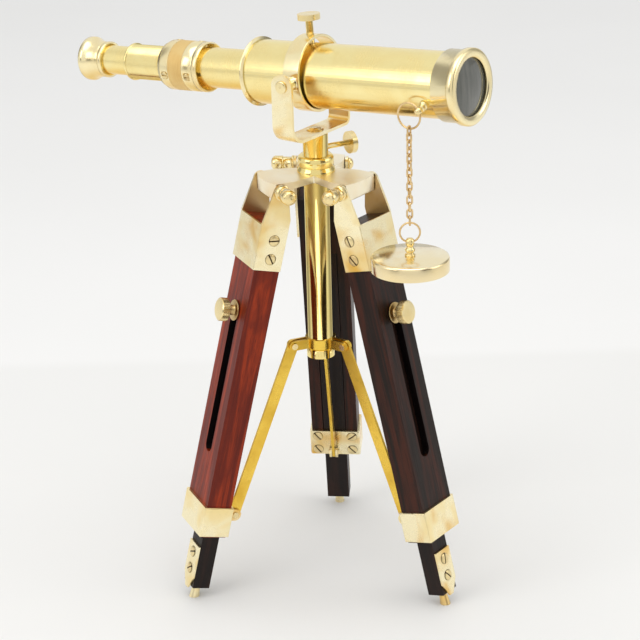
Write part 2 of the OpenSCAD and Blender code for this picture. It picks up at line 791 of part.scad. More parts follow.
ring_stud = 1.95;
ring_stud_out = 7.8;
// Thumb screw that presses on the barrel through the top of the ring
module ring_thumbscrew() {
    color(BRASS) tube_frame() rotate([0, -90, 0])
        translate([0, 0, barrel_radius + GAP])
            thumb_screw(ring_stud, ring_drop + ring_outer + ring_stud_out - barrel_radius - GAP, 2.7);
}

module barrel() {
    color(BRASS) tube_frame() difference() {
        tube(-rear_length + SEAT, bezel_front - bezel_flange - SEAT, barrel_radius, barrel_radius - barrel_wall);
        rotate([0, 0, -post_angle]) translate([0, 0, post_station]) rotate([0, 90, 0])
            cylinder(h = barrel_radius + BITE, r = post_shank + SEAT, $fn = ROUND_TINY);
    }
}

// Back flange that guides the first draw tube
module rear_flange() {
    r = draw_1_radius + RUN;
    color(BRASS) tube_frame() rotate_extrude($fn = ROUND)
        polygon([[r, flange_back], [rear_flange_radius - 0.4, flange_back],
            [rear_flange_radius, flange_back + 0.4], [rear_flange_radius, -rear_length],
            [barrel_radius - barrel_wall - SEAT, -rear_length],
            [barrel_radius - barrel_wall - SEAT, -rear_length + 8], [r, -rear_length + 8]]);
}

// Front bezel
module bezel() {
    inner = barrel_radius + SEAT;
    color(PALE_BRASS) tube_frame() rotate_extrude($fn = ROUND)
        polygon([[inner, bezel_back], [bezel_band_radius - 0.3, bezel_back],
            [bezel_band_radius, bezel_back + 0.4], [bezel_band_radius, bezel_front - bezel_lip - 0.5],
            [bezel_lip_radius - 0.6, bezel_front - bezel_lip], [bezel_lip_radius, bezel_front - bezel_lip + 0.7],
            [bezel_lip_radius, bezel_front - 0.8], [bezel_lip_radius - 0.8, bezel_front],
            [aperture + 0.7, bezel_front], [aperture, bezel_front - 0.9],
            [aperture, bezel_front - bezel_flange], [inner, bezel_front - bezel_flange]]);
}

lens_crown = 1.4;
// Front lens, domed on both faces
module objective() {
    r = barrel_radius - barrel_wall - SEAT;
    lens(r, bezel_front - bezel_flange - SEAT - 2.4, 2.4, aperture - 0.2);
}

module lens(radius, z0, rim, clear) {
    dome = (clear * clear + lens_crown * lens_crown) / (2 * lens_crown);
    color(GLASS) tube_frame() translate([0, 0, z0]) {
        cylinder(h = rim, r = radius, $fn = ROUND_SMALL);
        intersection() {
            translate([0, 0, rim + lens_crown - dome]) rotate_extrude($fn = ROUND)
                intersection() {
                    circle(r = dome, $fn = 144);
                    translate([0, 0]) square([dome, dome]);
                }
            translate([0, 0, rim / 2]) cylinder(h = rim, r = clear, $fn = ROUND_SMALL);
        }
    }
}

// Ball post for the cap chain, its hole flared at both mouths
post_shank = 1.2;
module eye_post() {
    color(BRASS) difference() {
        tube_frame() rotate([0, 0, -post_angle]) translate([0, 0, post_station]) {
            rotate([0, 90, 0]) {
                translate([0, 0, barrel_radius - barrel_wall])
                    cylinder(h = post_reach - barrel_radius + barrel_wall, r = post_shank, $fn = ROUND_TINY);
                translate([0, 0, barrel_radius + 0.2]) rotate_extrude($fn = ROUND_TINY)
                    polygon([[0, 0], [2.3, 0], [2.3, 1], [1.7, 1.6], [1.7, 2.4], [2.1, 2.8], [1.6, 3.6], [0, 3.6]]);
            }
            translate([post_reach, 0, 0]) sphere(r = ball_radius, $fn = ROUND_TINY);
        }
        placed() translate(post_ball) rotate([0, -ring_lean, 0]) rotate_extrude($fn = ROUND_TINY)
            polygon([[0, -3], [2.6, -3], [post_hole, -0.6], [post_hole, 0.6], [2.6, 3], [0, 3]]);
    }
}

module draw_tube_1() {
    color(BRASS) tube_frame()
        tube(collar_2_back + collar_2_length, flange_back + draw_1_inside, draw_1_radius, draw_1_inner);
}

// Collars and matte grip on the end of the first draw tube
module collar_front() {
    r = draw_1_radius + SEAT;
    z1 = collar_1_front;
    z0 = z1 - collar_length;
    color(BRASS) tube_frame() difference() {
        rotate_extrude($fn = ROUND)
            polygon([[r, z0 + 0.05], [collar_1_radius, z0 + 0.05], [collar_1_radius, z1 - 3.4],
                [collar_1_radius - 0.4, z1 - 3.1], [collar_1_radius, z1 - 2.8],
                [collar_1_radius, z1 - 0.6], [collar_1_radius - 0.4, z1],
                [r + collar_mouth, z1], [r + collar_mouth, z1 - 5], [r, z1 - 5]]);
        collar_screw_holes(z0 + 3);
    }
}

module grip_band() {
    z0 = collar_2_back + collar_2_length;
    color(MATTE_BRASS) tube_frame()
        tube(z0 + 0.05, z0 + grip_length - 0.05, collar_1_radius, draw_1_radius + SEAT);
}

module collar_rear() {
    z0 = collar_2_back;
    z1 = z0 + collar_2_length;
    color(BRASS) tube_frame() difference() {
        rotate_extrude($fn = ROUND)
            polygon([[draw_2_radius + RUN, z0], [draw_1_radius + 1, z0], [draw_1_radius + 1.5, z0 + 0.5],
                [draw_1_radius + 1.5, z0 + 2.2], [collar_1_radius - 0.2, z0 + 2.6], [collar_1_radius, z0 + 3],
                [collar_1_radius, z1 - 0.05], [draw_2_radius + RUN, z1 - 0.05]]);
        collar_screw_holes(z1 - 2.7);
    }
}

collar_mouth = 1.6;
collar_screw_depth = 2;
collar_screw_radius = 2;
collar_screw_turn = 43;
module collar_screw_holes(z) {
    for (k = [0:2]) rotate([0, 0, collar_screw_turn + 120 * k])
        translate([collar_1_radius - collar_screw_depth, 0, z]) rotate([0, 90, 0])
            cylinder(h = collar_screw_depth + BITE, r = collar_screw_radius + RUN, $fn = ROUND_TINY);
}

module collar_screws() {
    color(BRASS) tube_frame()
        for (z = [collar_1_front - collar_length + 3, collar_2_back + collar_2_length - 2.7])
            for (k = [0:2]) rotate([0, 0, collar_screw_turn + 120 * k])
                translate([collar_1_radius - collar_screw_depth + 0.05, 0, z]) rotate([0, 90, 0])
                    difference() {
                        cylinder(h = collar_screw_depth + 0.1, r = collar_screw_radius, $fn = ROUND_TINY);
                        translate([-3, -0.3, collar_screw_depth - 0.4]) cube([6, 0.6, 2]);
                    }
}

// Second draw tube with the flange that guides the third
module draw_tube_2() {
    color(BRASS) tube_frame() {
        tube(draw_2_back, collar_2_back + draw_2_inside, draw_2_radius, draw_2_inner);
        rotate_extrude($fn = ROUND)
            polygon([[draw_3_radius + RUN, draw_2_back - 1], [draw_2_radius + 0.4, draw_2_back - 1],
                [draw_2_radius + 0.7, draw_2_back - 0.7], [draw_2_radius + 0.7, draw_2_back + 0.1],
                [draw_2_radius + 0.4, draw_2_back + 0.4], [draw_2_radius - 0.3, draw_2_back + 0.4],
                [draw_2_radius - 0.3, draw_2_back + 5], [draw_3_radius + RUN, draw_2_back + 5]]);
    }
}

module draw_tube_3() {
    color(BRASS) tube_frame()
        tube(draw_3_back - 6, draw_2_back - 1 + draw_3_inside, draw_3_radius, draw_3_inner);
}

// Eye cup, dished at the back
module eyecup() {
    r = draw_3_radius + SEAT;
    z1 = draw_3_back;
    z0 = eyecup_back;
    color(BRASS) tube_frame() rotate_extrude($fn = ROUND)
        polygon([[r, z1], [9.3, z1], [9.7, z1 - 0.4], [9.7, z1 - 2], [9.2, z1 - 2.3], [9.2, z1 - 2.9],
            [9.4, z1 - 3.2], [9.7, z1 - 6], [10.4, z1 - 8.8], [eyecup_lip_radius - 0.2, z0 + 3.2],
            [eyecup_lip_radius, z0 + 2.8], [eyecup_lip_radius, z0 + 0.6], [eyecup_lip_radius - 0.6, z0],
            [eyecup_lip_radius - 1.6, z0], [eye_hole + 2.4, z0 + 3.6], [eye_hole, z0 + 3.8],
            [eye_hole, z0 + 5], [eye_seat, z0 + 5], [eye_seat, z1 - 6.1], [r, z1 - 6.1]]);
}

eye_hole = 4;
eye_seat = 6.6;
module eye_lens() {
    lens(eye_seat - SEAT, eyecup_back + 5.1, 1.8, 5);
}

module split_ring_top() {
    color(AGED_BRASS) hanging(ring_top_z) wire_ring(ring_top_radius);
}

// Oval link in the XZ plane
module link() {
    bend = (link_width + 2 * wire) / 2;
    straight = link_inner - link_width;
    for (side = [-1, 1]) {
        translate([side * bend, 0, -straight / 2])
            cylinder(h = straight, r = wire, $fn = 16);
        translate([0, 0, side * straight / 2]) intersection() {
            rotate([90, 0, 0]) rotate_extrude($fn = ROUND_TINY)
                translate([bend, 0]) circle(r = wire, $fn = 16);
            translate([-5, -5, side > 0 ? 0 : -10]) cube([10, 10, 10]);
        }
    }
}

// Chain links and the split ring at its lower end
module chain() {
    color(AGED_BRASS) {
        for (i = [0:link_count - 1])
            hanging(first_link_z - i * link_pitch) rotate([0, 0, 90 + i * link_turn]) link();
        hanging(ring_low_z) rotate([0, 0, ring_low_turn]) wire_ring(ring_low_radius);
    }
}

// Push-on lens cap
module cap() {
    color(PALE_BRASS) hanging(cap_z) difference() {
        rotate_extrude($fn = ROUND) polygon([
            [knob_stem + SEAT, 0], [cap_radius - 1.1, 0], [cap_radius - 0.3, -0.4], [cap_radius, -1.2],
            [cap_radius, -cap_height], [cap_inner, -cap_height], [cap_inner, -cap_top - 0.5],
            [cap_inner - 0.5, -cap_top], [knob_stem + SEAT, -cap_top]]);
    }
}

knob_stem = 1.2;
// Turned knob riveted into the cap
module cap_knob() {
    color(BRASS) hanging(cap_z) difference() {
        union() {
            rotate_extrude($fn = ROUND_SMALL) polygon([
                [0, -cap_top - 0.8], [2, -cap_top - 0.8], [2, -cap_top - 0.05], [knob_stem, -cap_top - 0.05],
                [knob_stem, 0.05], [2.6, 0.05], [2.6, 0.8], [1.8, 1.3], [1.7, 1.9], [2.4, 2.6], [2.5, 3.4], [1.9, 4.2],
                [1.5, 4.7], [1.6, 5.2], [2, 5.8], [2.2, 6.6], [2.2, 8], [1.6, 9], [0, 9.3]]);
        }
        translate([0, 0, knob_hole_rise]) rotate([0, 0, ring_low_turn]) rotate([0, 90, 0])
            cylinder(h = 8, r = knob_hole, center = true, $fn = ROUND_TINY);
    }
}

yoke();
collar();
column();
column_thumbscrew();
spreader();
spreader_pins();
strut_a();
strut_b();
strut_c();
leg_a();
leg_b();
leg_c();
top_bracket_a();
top_bracket_b();
top_bracket_c();
hinge_bolt_a();
hinge_bolt_b();
hinge_bolt_c();
leg_band_a();
leg_band_b();
leg_band_c();
leg_screws_a();
leg_screws_b();
leg_screws_c();
slider_a();
slider_b();
slider_c();
foot_a();
foot_b();
foot_c();
foot_screws_a();
foot_screws_b();
foot_screws_c();
clamp_knob_a();
clamp_knob_b();
clamp_knob_c();
fork();
fork_spindle();
pivot_screws();
clamp_ring();
ring_thumbscrew();
barrel();
rear_flange();
bezel();
objective();
eye_post();
draw_tube_1();
collar_front();
grip_band();
collar_rear();
collar_screws();
draw_tube_2();
draw_tube_3();
eyecup();
eye_lens();
split_ring_top();
chain();
cap();
cap_knob();
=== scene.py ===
"""Desk telescope on a folding tripod: finishes, fine pieces and studio.

Every length is in metres unless a name ends in _mm, which is in millimetres.
"""

import json
import logging
import math
import random
from dataclasses import dataclass, field
from enum import Enum
from typing import Callable

import bmesh
import bpy
from mathutils import Euler, Matrix, Vector

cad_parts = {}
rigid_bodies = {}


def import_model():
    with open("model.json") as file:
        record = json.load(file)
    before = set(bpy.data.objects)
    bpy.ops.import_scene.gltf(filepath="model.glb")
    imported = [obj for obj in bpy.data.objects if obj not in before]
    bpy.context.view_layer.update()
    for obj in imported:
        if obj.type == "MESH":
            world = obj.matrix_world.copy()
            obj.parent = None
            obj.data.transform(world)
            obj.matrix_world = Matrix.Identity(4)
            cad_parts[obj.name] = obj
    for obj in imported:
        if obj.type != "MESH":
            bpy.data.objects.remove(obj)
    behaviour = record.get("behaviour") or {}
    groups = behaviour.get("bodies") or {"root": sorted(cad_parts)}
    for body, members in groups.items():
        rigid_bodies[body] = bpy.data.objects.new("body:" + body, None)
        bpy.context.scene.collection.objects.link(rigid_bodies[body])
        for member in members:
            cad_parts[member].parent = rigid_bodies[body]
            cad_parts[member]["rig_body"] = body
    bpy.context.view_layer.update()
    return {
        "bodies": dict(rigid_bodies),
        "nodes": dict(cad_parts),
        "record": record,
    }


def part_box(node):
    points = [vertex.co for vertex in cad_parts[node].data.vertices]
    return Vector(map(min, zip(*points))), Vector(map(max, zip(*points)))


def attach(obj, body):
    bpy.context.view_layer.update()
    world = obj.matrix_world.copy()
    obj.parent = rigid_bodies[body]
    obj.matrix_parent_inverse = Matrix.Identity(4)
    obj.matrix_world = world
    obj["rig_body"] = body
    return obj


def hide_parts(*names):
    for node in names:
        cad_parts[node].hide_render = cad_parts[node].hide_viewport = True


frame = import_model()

LOG = logging.getLogger("telescope")
MM = 0.001
RECORD = frame["record"]
# Face attribute that holds painted shade: how dark each face is painted where shade falls.
PAINTED_SHADE = "painted_shade"
JOINTS = {j["name"]: j for j in RECORD["behaviour"]["joints"]}


# Frames -------------------------------------------------------------------


def frame_matrix(x: Vector, y: Vector, z: Vector, at: Vector) -> Matrix:
    """Build a placement from three axes and a point.

    Args:
        x: Direction of local X.
        y: Direction of local Y.
        z: Direction of local Z.
        at: Place of the local origin.

    Returns:
        The 4 by 4 placement matrix.
    """
    turn = Matrix((x, y, z)).transposed().to_4x4()
    return Matrix.Translation(at) @ turn


def aimed(direction: Vector, at: Vector, spin: float = 0.0) -> Matrix:
    """Build a placement whose local Z points along a direction.

    Args:
        direction: Where local Z points.
        at: Place of the local origin.
        spin: Turn about that direction, in radians.

    Returns:
        The 4 by 4 placement matrix.
    """
    turn = direction.to_track_quat("Z", "Y").to_matrix().to_4x4()
    return Matrix.Translation(at) @ turn @ Matrix.Rotation(spin, 4, "Z")


@dataclass(frozen=True)
class Layout:
    """Frames of the legs and of the barrel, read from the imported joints."""

    column: Vector
    tilt: Vector
    barrel_axis: Vector

    @staticmethod
    def read() -> "Layout":
        """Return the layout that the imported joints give."""
        pan = JOINTS["fork_pan"]
        tilt = JOINTS["telescope_tilt"]
        return Layout(
            column=Vector((pan["pos_m"][0], pan["pos_m"][1], 0.0)),
            tilt=Vector(tilt["pos_m"]),
            barrel_axis=Vector(JOINTS["barrel_slide"]["axis"]).normalized(),
        )

    def leg(self, letter: str) -> Matrix:
        """Return a leg's frame.

        Args:
            letter: The leg's letter.

        Returns:
            Placement with X out of the leg's face, Y across it, Z up along it.
        """
        across = Vector(JOINTS[f"leg_{letter}_fold"]["axis"]).normalized()
        up = -Vector(JOINTS[f"leg_{letter}_extend"]["axis"]).normalized()
        at = Vector(JOINTS[f"leg_{letter}_fold"]["pos_m"])
        return frame_matrix(across.cross(up), across, up, at)

    def tube(self) -> Matrix:
        """Return the barrel's frame, its Z along the barrel to the front lens."""
        side = Vector((0.0, 1.0, 0.0))
        return frame_matrix(side.cross(self.barrel_axis), side, self.barrel_axis, self.tilt)


# Shader expressions ---------------------------------------------------------


class Value:
    """A shader socket that takes part in Python expressions."""

    def __init__(self, graph: "Graph", socket: bpy.types.NodeSocket) -> None:
        """Wrap a socket.

        Args:
            graph: Whose node tree holds the socket.
            socket: The output socket.
        """
        self.graph = graph
        self.socket = socket

    def __add__(self, other: object) -> "Value":
        """Return self + other."""
        return self.graph.maths("ADD", self, other)

    __radd__ = __add__

    def __mul__(self, other: object) -> "Value":
        """Return self * other."""
        return self.graph.maths("MULTIPLY", self, other)

    __rmul__ = __mul__

    def __sub__(self, other: object) -> "Value":
        """Return self - other."""
        return self.graph.maths("SUBTRACT", self, other)

    def __rsub__(self, other: object) -> "Value":
        """Return other - self."""
        return self.graph.maths("SUBTRACT", other, self)

    def clamp(self, low: float, high: float, to_low: float = 0.0, to_high: float = 1.0) -> "Value":
        """Map a span of values smoothly to another.

        Args:
            low: Value that gives to_low.
            high: Value that gives to_high.
            to_low: Result at and below low.
            to_high: Result at and above high.

        Returns:
            The mapped value.
        """
        return self.graph.node(
            "ShaderNodeMapRange",
            {"interpolation_type": "SMOOTHSTEP"},
            {"Value": self, "From Min": low, "From Max": high, "To Min": to_low, "To Max": to_high},
        )


Colour = tuple[float, float, float]


class Graph:
    """A node tree that is written as expressions."""

    def tree(self) -> bpy.types.NodeTree:
        """Return the node tree; each kind of graph has its own."""
        raise NotImplementedError

    def node(self, kind: str, settings: dict, inputs: dict, output: object = 0) -> Value:
        """Add one node.

        Args:
            kind: The node's type.
            settings: Its settings, set before its sockets.
            inputs: Values or links of its sockets, by name or number.
            output: Name or number of the output to return.

        Returns:
            The chosen output.
        """
        tree = self.tree()
        made = tree.nodes.new(kind)
        for key, value in settings.items():
            setattr(made, key, value)
        for key, value in inputs.items():
            if isinstance(value, Value):
                tree.links.new(value.socket, made.inputs[key])
            else:
                made.inputs[key].default_value = value
        return Value(self, made.outputs[output])

    def mix(self, amount: object, first: object, second: object, blend: str = "MIX") -> Value:
        """Return a blend of two colours.

        Args:
            amount: How much of the second shows.
            first: First colour.
            second: Second colour.
            blend: Blending mode.

        Returns:
            The blended colour.
        """
        return self.node(
            "ShaderNodeMix",
            {"data_type": "RGBA", "blend_type": blend},
            {0: amount, 6: self.rgba(first), 7: self.rgba(second)},
            2,
        )

    @staticmethod
    def rgba(colour: object) -> object:
        """Return a colour with its alpha, or the value unchanged."""
        return (*colour, 1.0) if isinstance(colour, tuple) and len(colour) == 3 else colour

    def maths(self, operation: str, first: object, second: object) -> Value:
        """Return the result of a Math node on two values."""
        return self.node("ShaderNodeMath", {"operation": operation}, {0: first, 1: second})

    def end(self, kind: str, shader: Value) -> None:
        """Link a shader to a new output node of the given type."""
        out = self.tree().nodes.new(kind)
        self.tree().links.new(shader.socket, out.inputs["Surface"])


@dataclass(frozen=True)
class Finish(Graph):
    """Base of every finish: a named procedural material."""

    name: str

    def tree(self) -> bpy.types.NodeTree:
        """Return the material's node tree."""
        return bpy.data.materials[self.name].node_tree

    def place(self, turn: Matrix | None = None, stretch: Colour = (1.0, 1.0, 1.0)) -> Value:
        """Return object coordinates in millimetres.

        Args:
            turn: Placement whose axes the coordinates follow, if any.
            stretch: Scale along each of those axes.

        Returns:
            The coordinates.
        """
        at = self.node("ShaderNodeTexCoord", {}, {}, "Object")
        back = turn.inverted() if turn else Matrix.Identity(4)
        at = self.node(
            "ShaderNodeMapping",
            {"vector_type": "POINT"},
            {"Vector": at, "Location": back.to_translation(), "Rotation": back.to_euler("XYZ")},
        )
        scale = Vector(stretch) / MM
        return self.node("ShaderNodeVectorMath", {"operation": "MULTIPLY"}, {0: at, 1: scale})

    def noise(self, at: Value, scale: float, detail: float = 3.0, rough: float = 0.55, twist: float = 0.0) -> Value:
        """Return a noise value from 0 to 1.

        Args:
            at: Coordinates.
            scale: Features per unit of them.
            detail: Octaves.
            rough: How strong the fine octaves are.
            twist: Distortion.

        Returns:
            The noise value.
        """
        return self.node(
            "ShaderNodeTexNoise",
            {"noise_dimensions": "3D"},
            {"Vector": at, "Scale": scale, "Detail": detail, "Roughness": rough, "Distortion": twist},
            0,
        )

    def painted_shade(self) -> Value:
        """Return how much painted shade each face carries."""
        return self.node("ShaderNodeAttribute", {"attribute_name": PAINTED_SHADE}, {}, "Fac")

    def bump(self, height: Value, strength: float, depth_mm: float) -> Value:
        """Return a bumped normal.

        Args:
            height: Height from 0 to 1.
            strength: How much of it shows.
            depth_mm: Depth of a height of 1.

        Returns:
            The normal.
        """
        return self.node(
            "ShaderNodeBump", {}, {"Height": height, "Strength": strength, "Distance": depth_mm * MM}, "Normal"
        )

    def surface(self, **inputs: object) -> None:
        """Add the shader and the output.

        Args:
            inputs: Values or links of the shader's sockets, spaces as underscores.
        """
        shader = self.node(
            "ShaderNodeBsdfPrincipled",
            {},
            {key.replace("_", " "): self.rgba(value) for key, value in inputs.items()},
            "BSDF",
        )
        self.end("ShaderNodeOutputMaterial", shader)

    def build(self) -> bpy.types.Material:
        """Return the finished material, made on first use."""
        if self.name not in bpy.data.materials:
            material = bpy.data.materials.new(self.name)
            material.use_nodes = True
            material.node_tree.nodes.clear()
            self.paint()
        return bpy.data.materials[self.name]

    def paint(self) -> None:
        """Fill the node tree; each finish has its own way."""
        raise NotImplementedError


@dataclass(frozen=True)
class Brass(Finish):
    """Polished or aged brass with fine lines, clouds and finger-worn patches, and painted shade on its undersides
    and marked faces.
    """

    colour: Colour = (0.90, 0.74, 0.40)
    deep: Colour = (0.74, 0.48, 0.13)
    cloud: float = 0.35
    # Painted shade on faces that look down.
    painted_underside_shade: float = 0.0
    roughness: float = 0.13
    smear: float = 0.10
    lines: float = 0.0
    tarnish: float = 0.0
    amber: float = 0.0
    # Colour of the painted shade on marked faces.
    painted_shade_colour: Colour = (0.16, 0.085, 0.03)
    axes: Matrix | None = field(default=None, compare=False)

    def paint(self) -> None:
        """Fill the node tree."""
        at = self.place()
        clouds = self.noise(at, 0.055, 3.0, 0.5, 0.4)
        speck = self.noise(at, 1.9, 2.0, 0.6)
        amount = clouds.clamp(0.38, 0.72, 0.0, self.cloud)
        # Painted shade: faces that look down turn towards the deep colour.
        if self.painted_underside_shade:
            normal = self.node("ShaderNodeNewGeometry", {}, {}, "Normal")
            height = self.node("ShaderNodeSeparateXYZ", {}, {"Vector": normal}, "Z")
            amount = amount + height.clamp(-0.75, -0.15, self.painted_underside_shade, 0.0)
        colour = self.mix(amount, self.colour, self.deep)
        if self.amber:
            pools = self.noise(at, 0.035, 2.0, 0.45, 0.9).clamp(0.48, 0.74, 0.0, self.amber)
            colour = self.mix(pools, colour, (0.80, 0.44, 0.05))
        if self.tarnish:
            spots = self.noise(at, 0.5, 4.0, 0.65, 0.6).clamp(0.52, 0.70, 0.0, self.tarnish)
            colour = self.mix(spots, colour, (0.20, 0.12, 0.05))
        # Painted shade: marked faces turn towards the shade colour.
        painted_shade = self.painted_shade()
        colour = self.mix(painted_shade, colour, self.painted_shade_colour)
        rough = clouds.clamp(0.35, 0.75, self.roughness, self.roughness + self.smear)
        rough = rough + painted_shade * 0.12 + speck.clamp(0.45, 0.75, 0.0, 0.4 * self.smear)
        grain = speck
        if self.lines:
            grain = self.noise(self.place(self.axes, (0.12, 0.12, 5.0)), 1.0, 3.0, 0.7)
            rough = rough + grain.clamp(0.4, 0.7, 0.0, 0.25 * self.lines)
        normal = self.bump(grain, 0.06 + 0.5 * self.lines, 0.05)
        self.surface(Base_Color=colour, Metallic=1.0, Roughness=rough, Normal=normal)


@dataclass(frozen=True)
class Wood(Finish):
    """Varnished close-grained hardwood, its grain along the leg, with painted shade on marked faces."""

    light: Colour = (0.25, 0.055, 0.022)
    dark: Colour = (0.055, 0.012, 0.007)
    streak: float = 0.6
    gloss: float = 0.35
    axes: Matrix | None = field(default=None, compare=False)

    def paint(self) -> None:
        """Fill the node tree."""
        rings = self.noise(self.place(self.axes, (0.16, 0.16, 0.012)), 1.0, 4.0, 0.55, 1.2)
        fibre = self.noise(self.place(self.axes, (1.4, 1.4, 0.05)), 1.0, 3.0, 0.6, 0.3)
        pores = self.noise(self.place(self.axes, (3.2, 3.2, 0.16)), 1.0, 2.0, 0.5)
        colour = self.mix(rings.clamp(0.36, 0.66), self.dark, self.light)
        band = self.mix(0.5, self.dark, (0.008, 0.003, 0.002))
        colour = self.mix(fibre.clamp(0.50, 0.70, 0.0, self.streak), colour, band)
        colour = self.mix(pores.clamp(0.60, 0.72, 0.0, 0.55), colour, (0.010, 0.004, 0.003))
        patches = self.noise(self.place(self.axes, (0.05, 0.05, 0.03)), 1.0, 3.0, 0.5, 0.8)
        colour = self.mix(patches.clamp(0.50, 0.68, 0.0, 0.6), colour, self.dark)
        # Painted shade: marked faces turn nearly black and lose their coat.
        painted_shade = self.painted_shade()
        colour = self.mix(painted_shade, colour, (0.004, 0.002, 0.002))
        rough = fibre.clamp(0.3, 0.7, 0.36, 0.52)
        normal = self.bump(pores, 0.25, 0.12)
        self.surface(
            Base_Color=colour,
            Roughness=rough,
            Normal=normal,
            Coat_Weight=(1 - painted_shade) * self.gloss,
            Coat_Roughness=0.12,
            Specular_IOR_Level=0.2,
        )


@dataclass(frozen=True)
class LensGlass(Finish):
    """Coated lens over a blackened tube: dark, smooth and faintly green."""

    def paint(self) -> None:
        """Fill the node tree."""
        haze = self.noise(self.place(stretch=(0.3, 0.3, 0.03)), 1.0, 2.0, 0.5)
        colour = self.mix(haze.clamp(0.3, 0.7), (0.070, 0.073, 0.062), (0.110, 0.110, 0.094))
        rough = haze.clamp(0.35, 0.7, 0.03, 0.09)
        self.surface(Base_Color=colour, Roughness=rough, IOR=1.52, Coat_Weight=0.5, Coat_Roughness=0.03)


@dataclass(frozen=True)
class Sweep(Finish):
    """Pale studio floor with a soft change of tone behind the object."""

    near: Colour = (0.83, 0.83, 0.825)
    far: Colour = (0.87, 0.87, 0.87)
    line: Vector = field(default_factory=lambda: Vector((0.0, 1.0, 0.0)), compare=False)
    distance_mm: float = 290.0

    def paint(self) -> None:
        """Fill the node tree."""
        at = self.node("ShaderNodeTexCoord", {}, {}, "Object")
        along = self.node("ShaderNodeVectorMath", {"operation": "DOT_PRODUCT"}, {0: at, 1: self.line}, "Value")
        edge = self.distance_mm * MM
        tone = along.clamp(edge - 0.01, edge + 0.012)
        mottle = self.noise(self.place(), 0.004, 2.0, 0.4).clamp(0.3, 0.7, 0.0, 0.25)
        colour = self.mix(tone, self.near, self.far)
        colour = self.mix(mottle, colour, (0.81, 0.81, 0.805))
        self.surface(Base_Color=colour, Roughness=0.75, Specular_IOR_Level=0.2)


@dataclass(frozen=True)
class Sky(Graph):
    """Even room light with soft dark stands, and a pale backdrop for the camera."""

    heading: float
    level: Colour = (0.84, 0.84, 0.84 * 0.99)
    shade: Colour = (0.035, 0.022, 0.012)
    backdrop: Colour = (0.87, 0.87, 0.87)
    stands: tuple = ((-50, 12, 0.82), (46, 14, 0.84), (128, 16, 0.6), (-125, 14, 0.6))
    low: float = 0.45
    high: float = 0.75

    def tree(self) -> bpy.types.NodeTree:
        """Return the room's node tree."""
        return bpy.context.scene.world.node_tree

    def build(self) -> None:
        """Light the room; each stand has a turn, a half width and a depth."""
        world = bpy.data.worlds.new("Room")
        bpy.context.scene.world = world
        world.use_nodes = True
        world.node_tree.nodes.clear()
        at = self.node("ShaderNodeTexCoord", {}, {}, "Generated")
        x, y, z = (self.node("ShaderNodeSeparateXYZ", {}, {"Vector": at}, axis) for axis in "XYZ")
        angle, stand = self.maths("ARCTAN2", y, x), None
        for turn, width, depth in self.stands:
            apart = self.maths("COSINE", angle - (self.heading + math.radians(turn)), 0.0)
            edges = (math.cos(math.radians(width * k)) for k in (1.5, 0.6))
            shadow = apart.clamp(*edges, 0.0, depth)
            stand = self.maths("MAXIMUM", stand, shadow) if stand else shadow
        stand = stand * z.clamp(self.high, self.low)
        glossy = self.node("ShaderNodeLightPath", {}, {}, "Is Glossy Ray")
        straight = self.node("ShaderNodeLightPath", {}, {}, "Is Camera Ray")
        colour = self.mix(straight, self.mix(stand * glossy, self.level, self.shade), self.backdrop)
        self.end("ShaderNodeOutputWorld", self.node("ShaderNodeBackground", {}, {"Color": colour}))


# Mesh helpers ---------------------------------------------------------------


def held(name: str, mesh: bpy.types.Mesh) -> bpy.types.Object:
    """Return a new object in the scene that holds a mesh."""
    thing = bpy.data.objects.new(name, mesh)
    bpy.context.scene.collection.objects.link(thing)
    return thing


def baked(holder: bpy.types.Object) -> bpy.types.Mesh:
    """Return a holder's mesh with its modifiers applied, and remove the holder."""
    holder.update_tag()
    bpy.context.view_layer.update()
    seen = holder.evaluated_get(bpy.context.evaluated_depsgraph_get())
    result = bpy.data.meshes.new_from_object(seen)
    holder.modifiers.clear()
    bpy.data.objects.remove(holder)
    return result


def shade(mesh: bpy.types.Mesh, angle: float = 34.0) -> None:
    """Shade a mesh smoothly except over sharp edges.

    Args:
        mesh: The mesh.
        angle: Smallest sharp angle, in degrees.
    """
    mesh.shade_smooth()
    mesh.set_sharp_from_angle(angle=math.radians(angle))


def lathe(profile_mm: list[tuple[float, float]], steps: int = 48) -> bmesh.types.BMesh:
    """Turn a profile about Z.

    Args:
        profile_mm: Radius and height pairs, from axis to axis, up the outside.
        steps: Sides of the turned shape.

    Returns:
        The closed shape, in metres.
    """
    made = bmesh.new()
    rings = []
    for radius, height in profile_mm:
        if radius < 1e-6:
            rings.append([made.verts.new((0.0, 0.0, height * MM))])
            continue
        turns = [2 * math.pi * i / steps for i in range(steps)]
        points = [Vector((radius * math.cos(t), radius * math.sin(t), height)) for t in turns]
        rings.append([made.verts.new(point * MM) for point in points])
    for low, high in zip(rings, rings[1:]):
        for i in range(steps):
            j = (i + 1) % steps
            corners = [low[i % len(low)], low[j % len(low)], high[j % len(high)], high[i % len(high)]]
            unique = list(dict.fromkeys(corners))
            if len(unique) > 2:
                made.faces.new(unique)
    bmesh.ops.recalc_face_normals(made, faces=made.faces)
    return made


def place_into(target: bmesh.types.BMesh, part: bmesh.types.BMesh, place: Matrix) -> None:
    """Add a placed copy of a part to a target and free the part.

    Args:
        target: Shape that grows.
        part: Shape that is added.
        place: Where it goes.
    """
    bmesh.ops.transform(part, matrix=place, verts=part.verts)
    copy = bpy.data.meshes.new("copy")
    part.to_mesh(copy)
    part.free()
    target.from_mesh(copy)
    bpy.data.meshes.remove(copy)


def mesh_from(made: bmesh.types.BMesh, name: str, angle: float = 34.0) -> bpy.types.Mesh:
    """Turn a working shape into a shaded mesh.

    Args:
        made: The working shape, which is freed.
        name: The mesh's name.
        angle: Smallest sharp angle, in degrees.

    Returns:
        The mesh.
    """
    mesh = bpy.data.meshes.new(name)
    made.to_mesh(mesh)
    made.free()
    shade(mesh, angle)
    return mesh


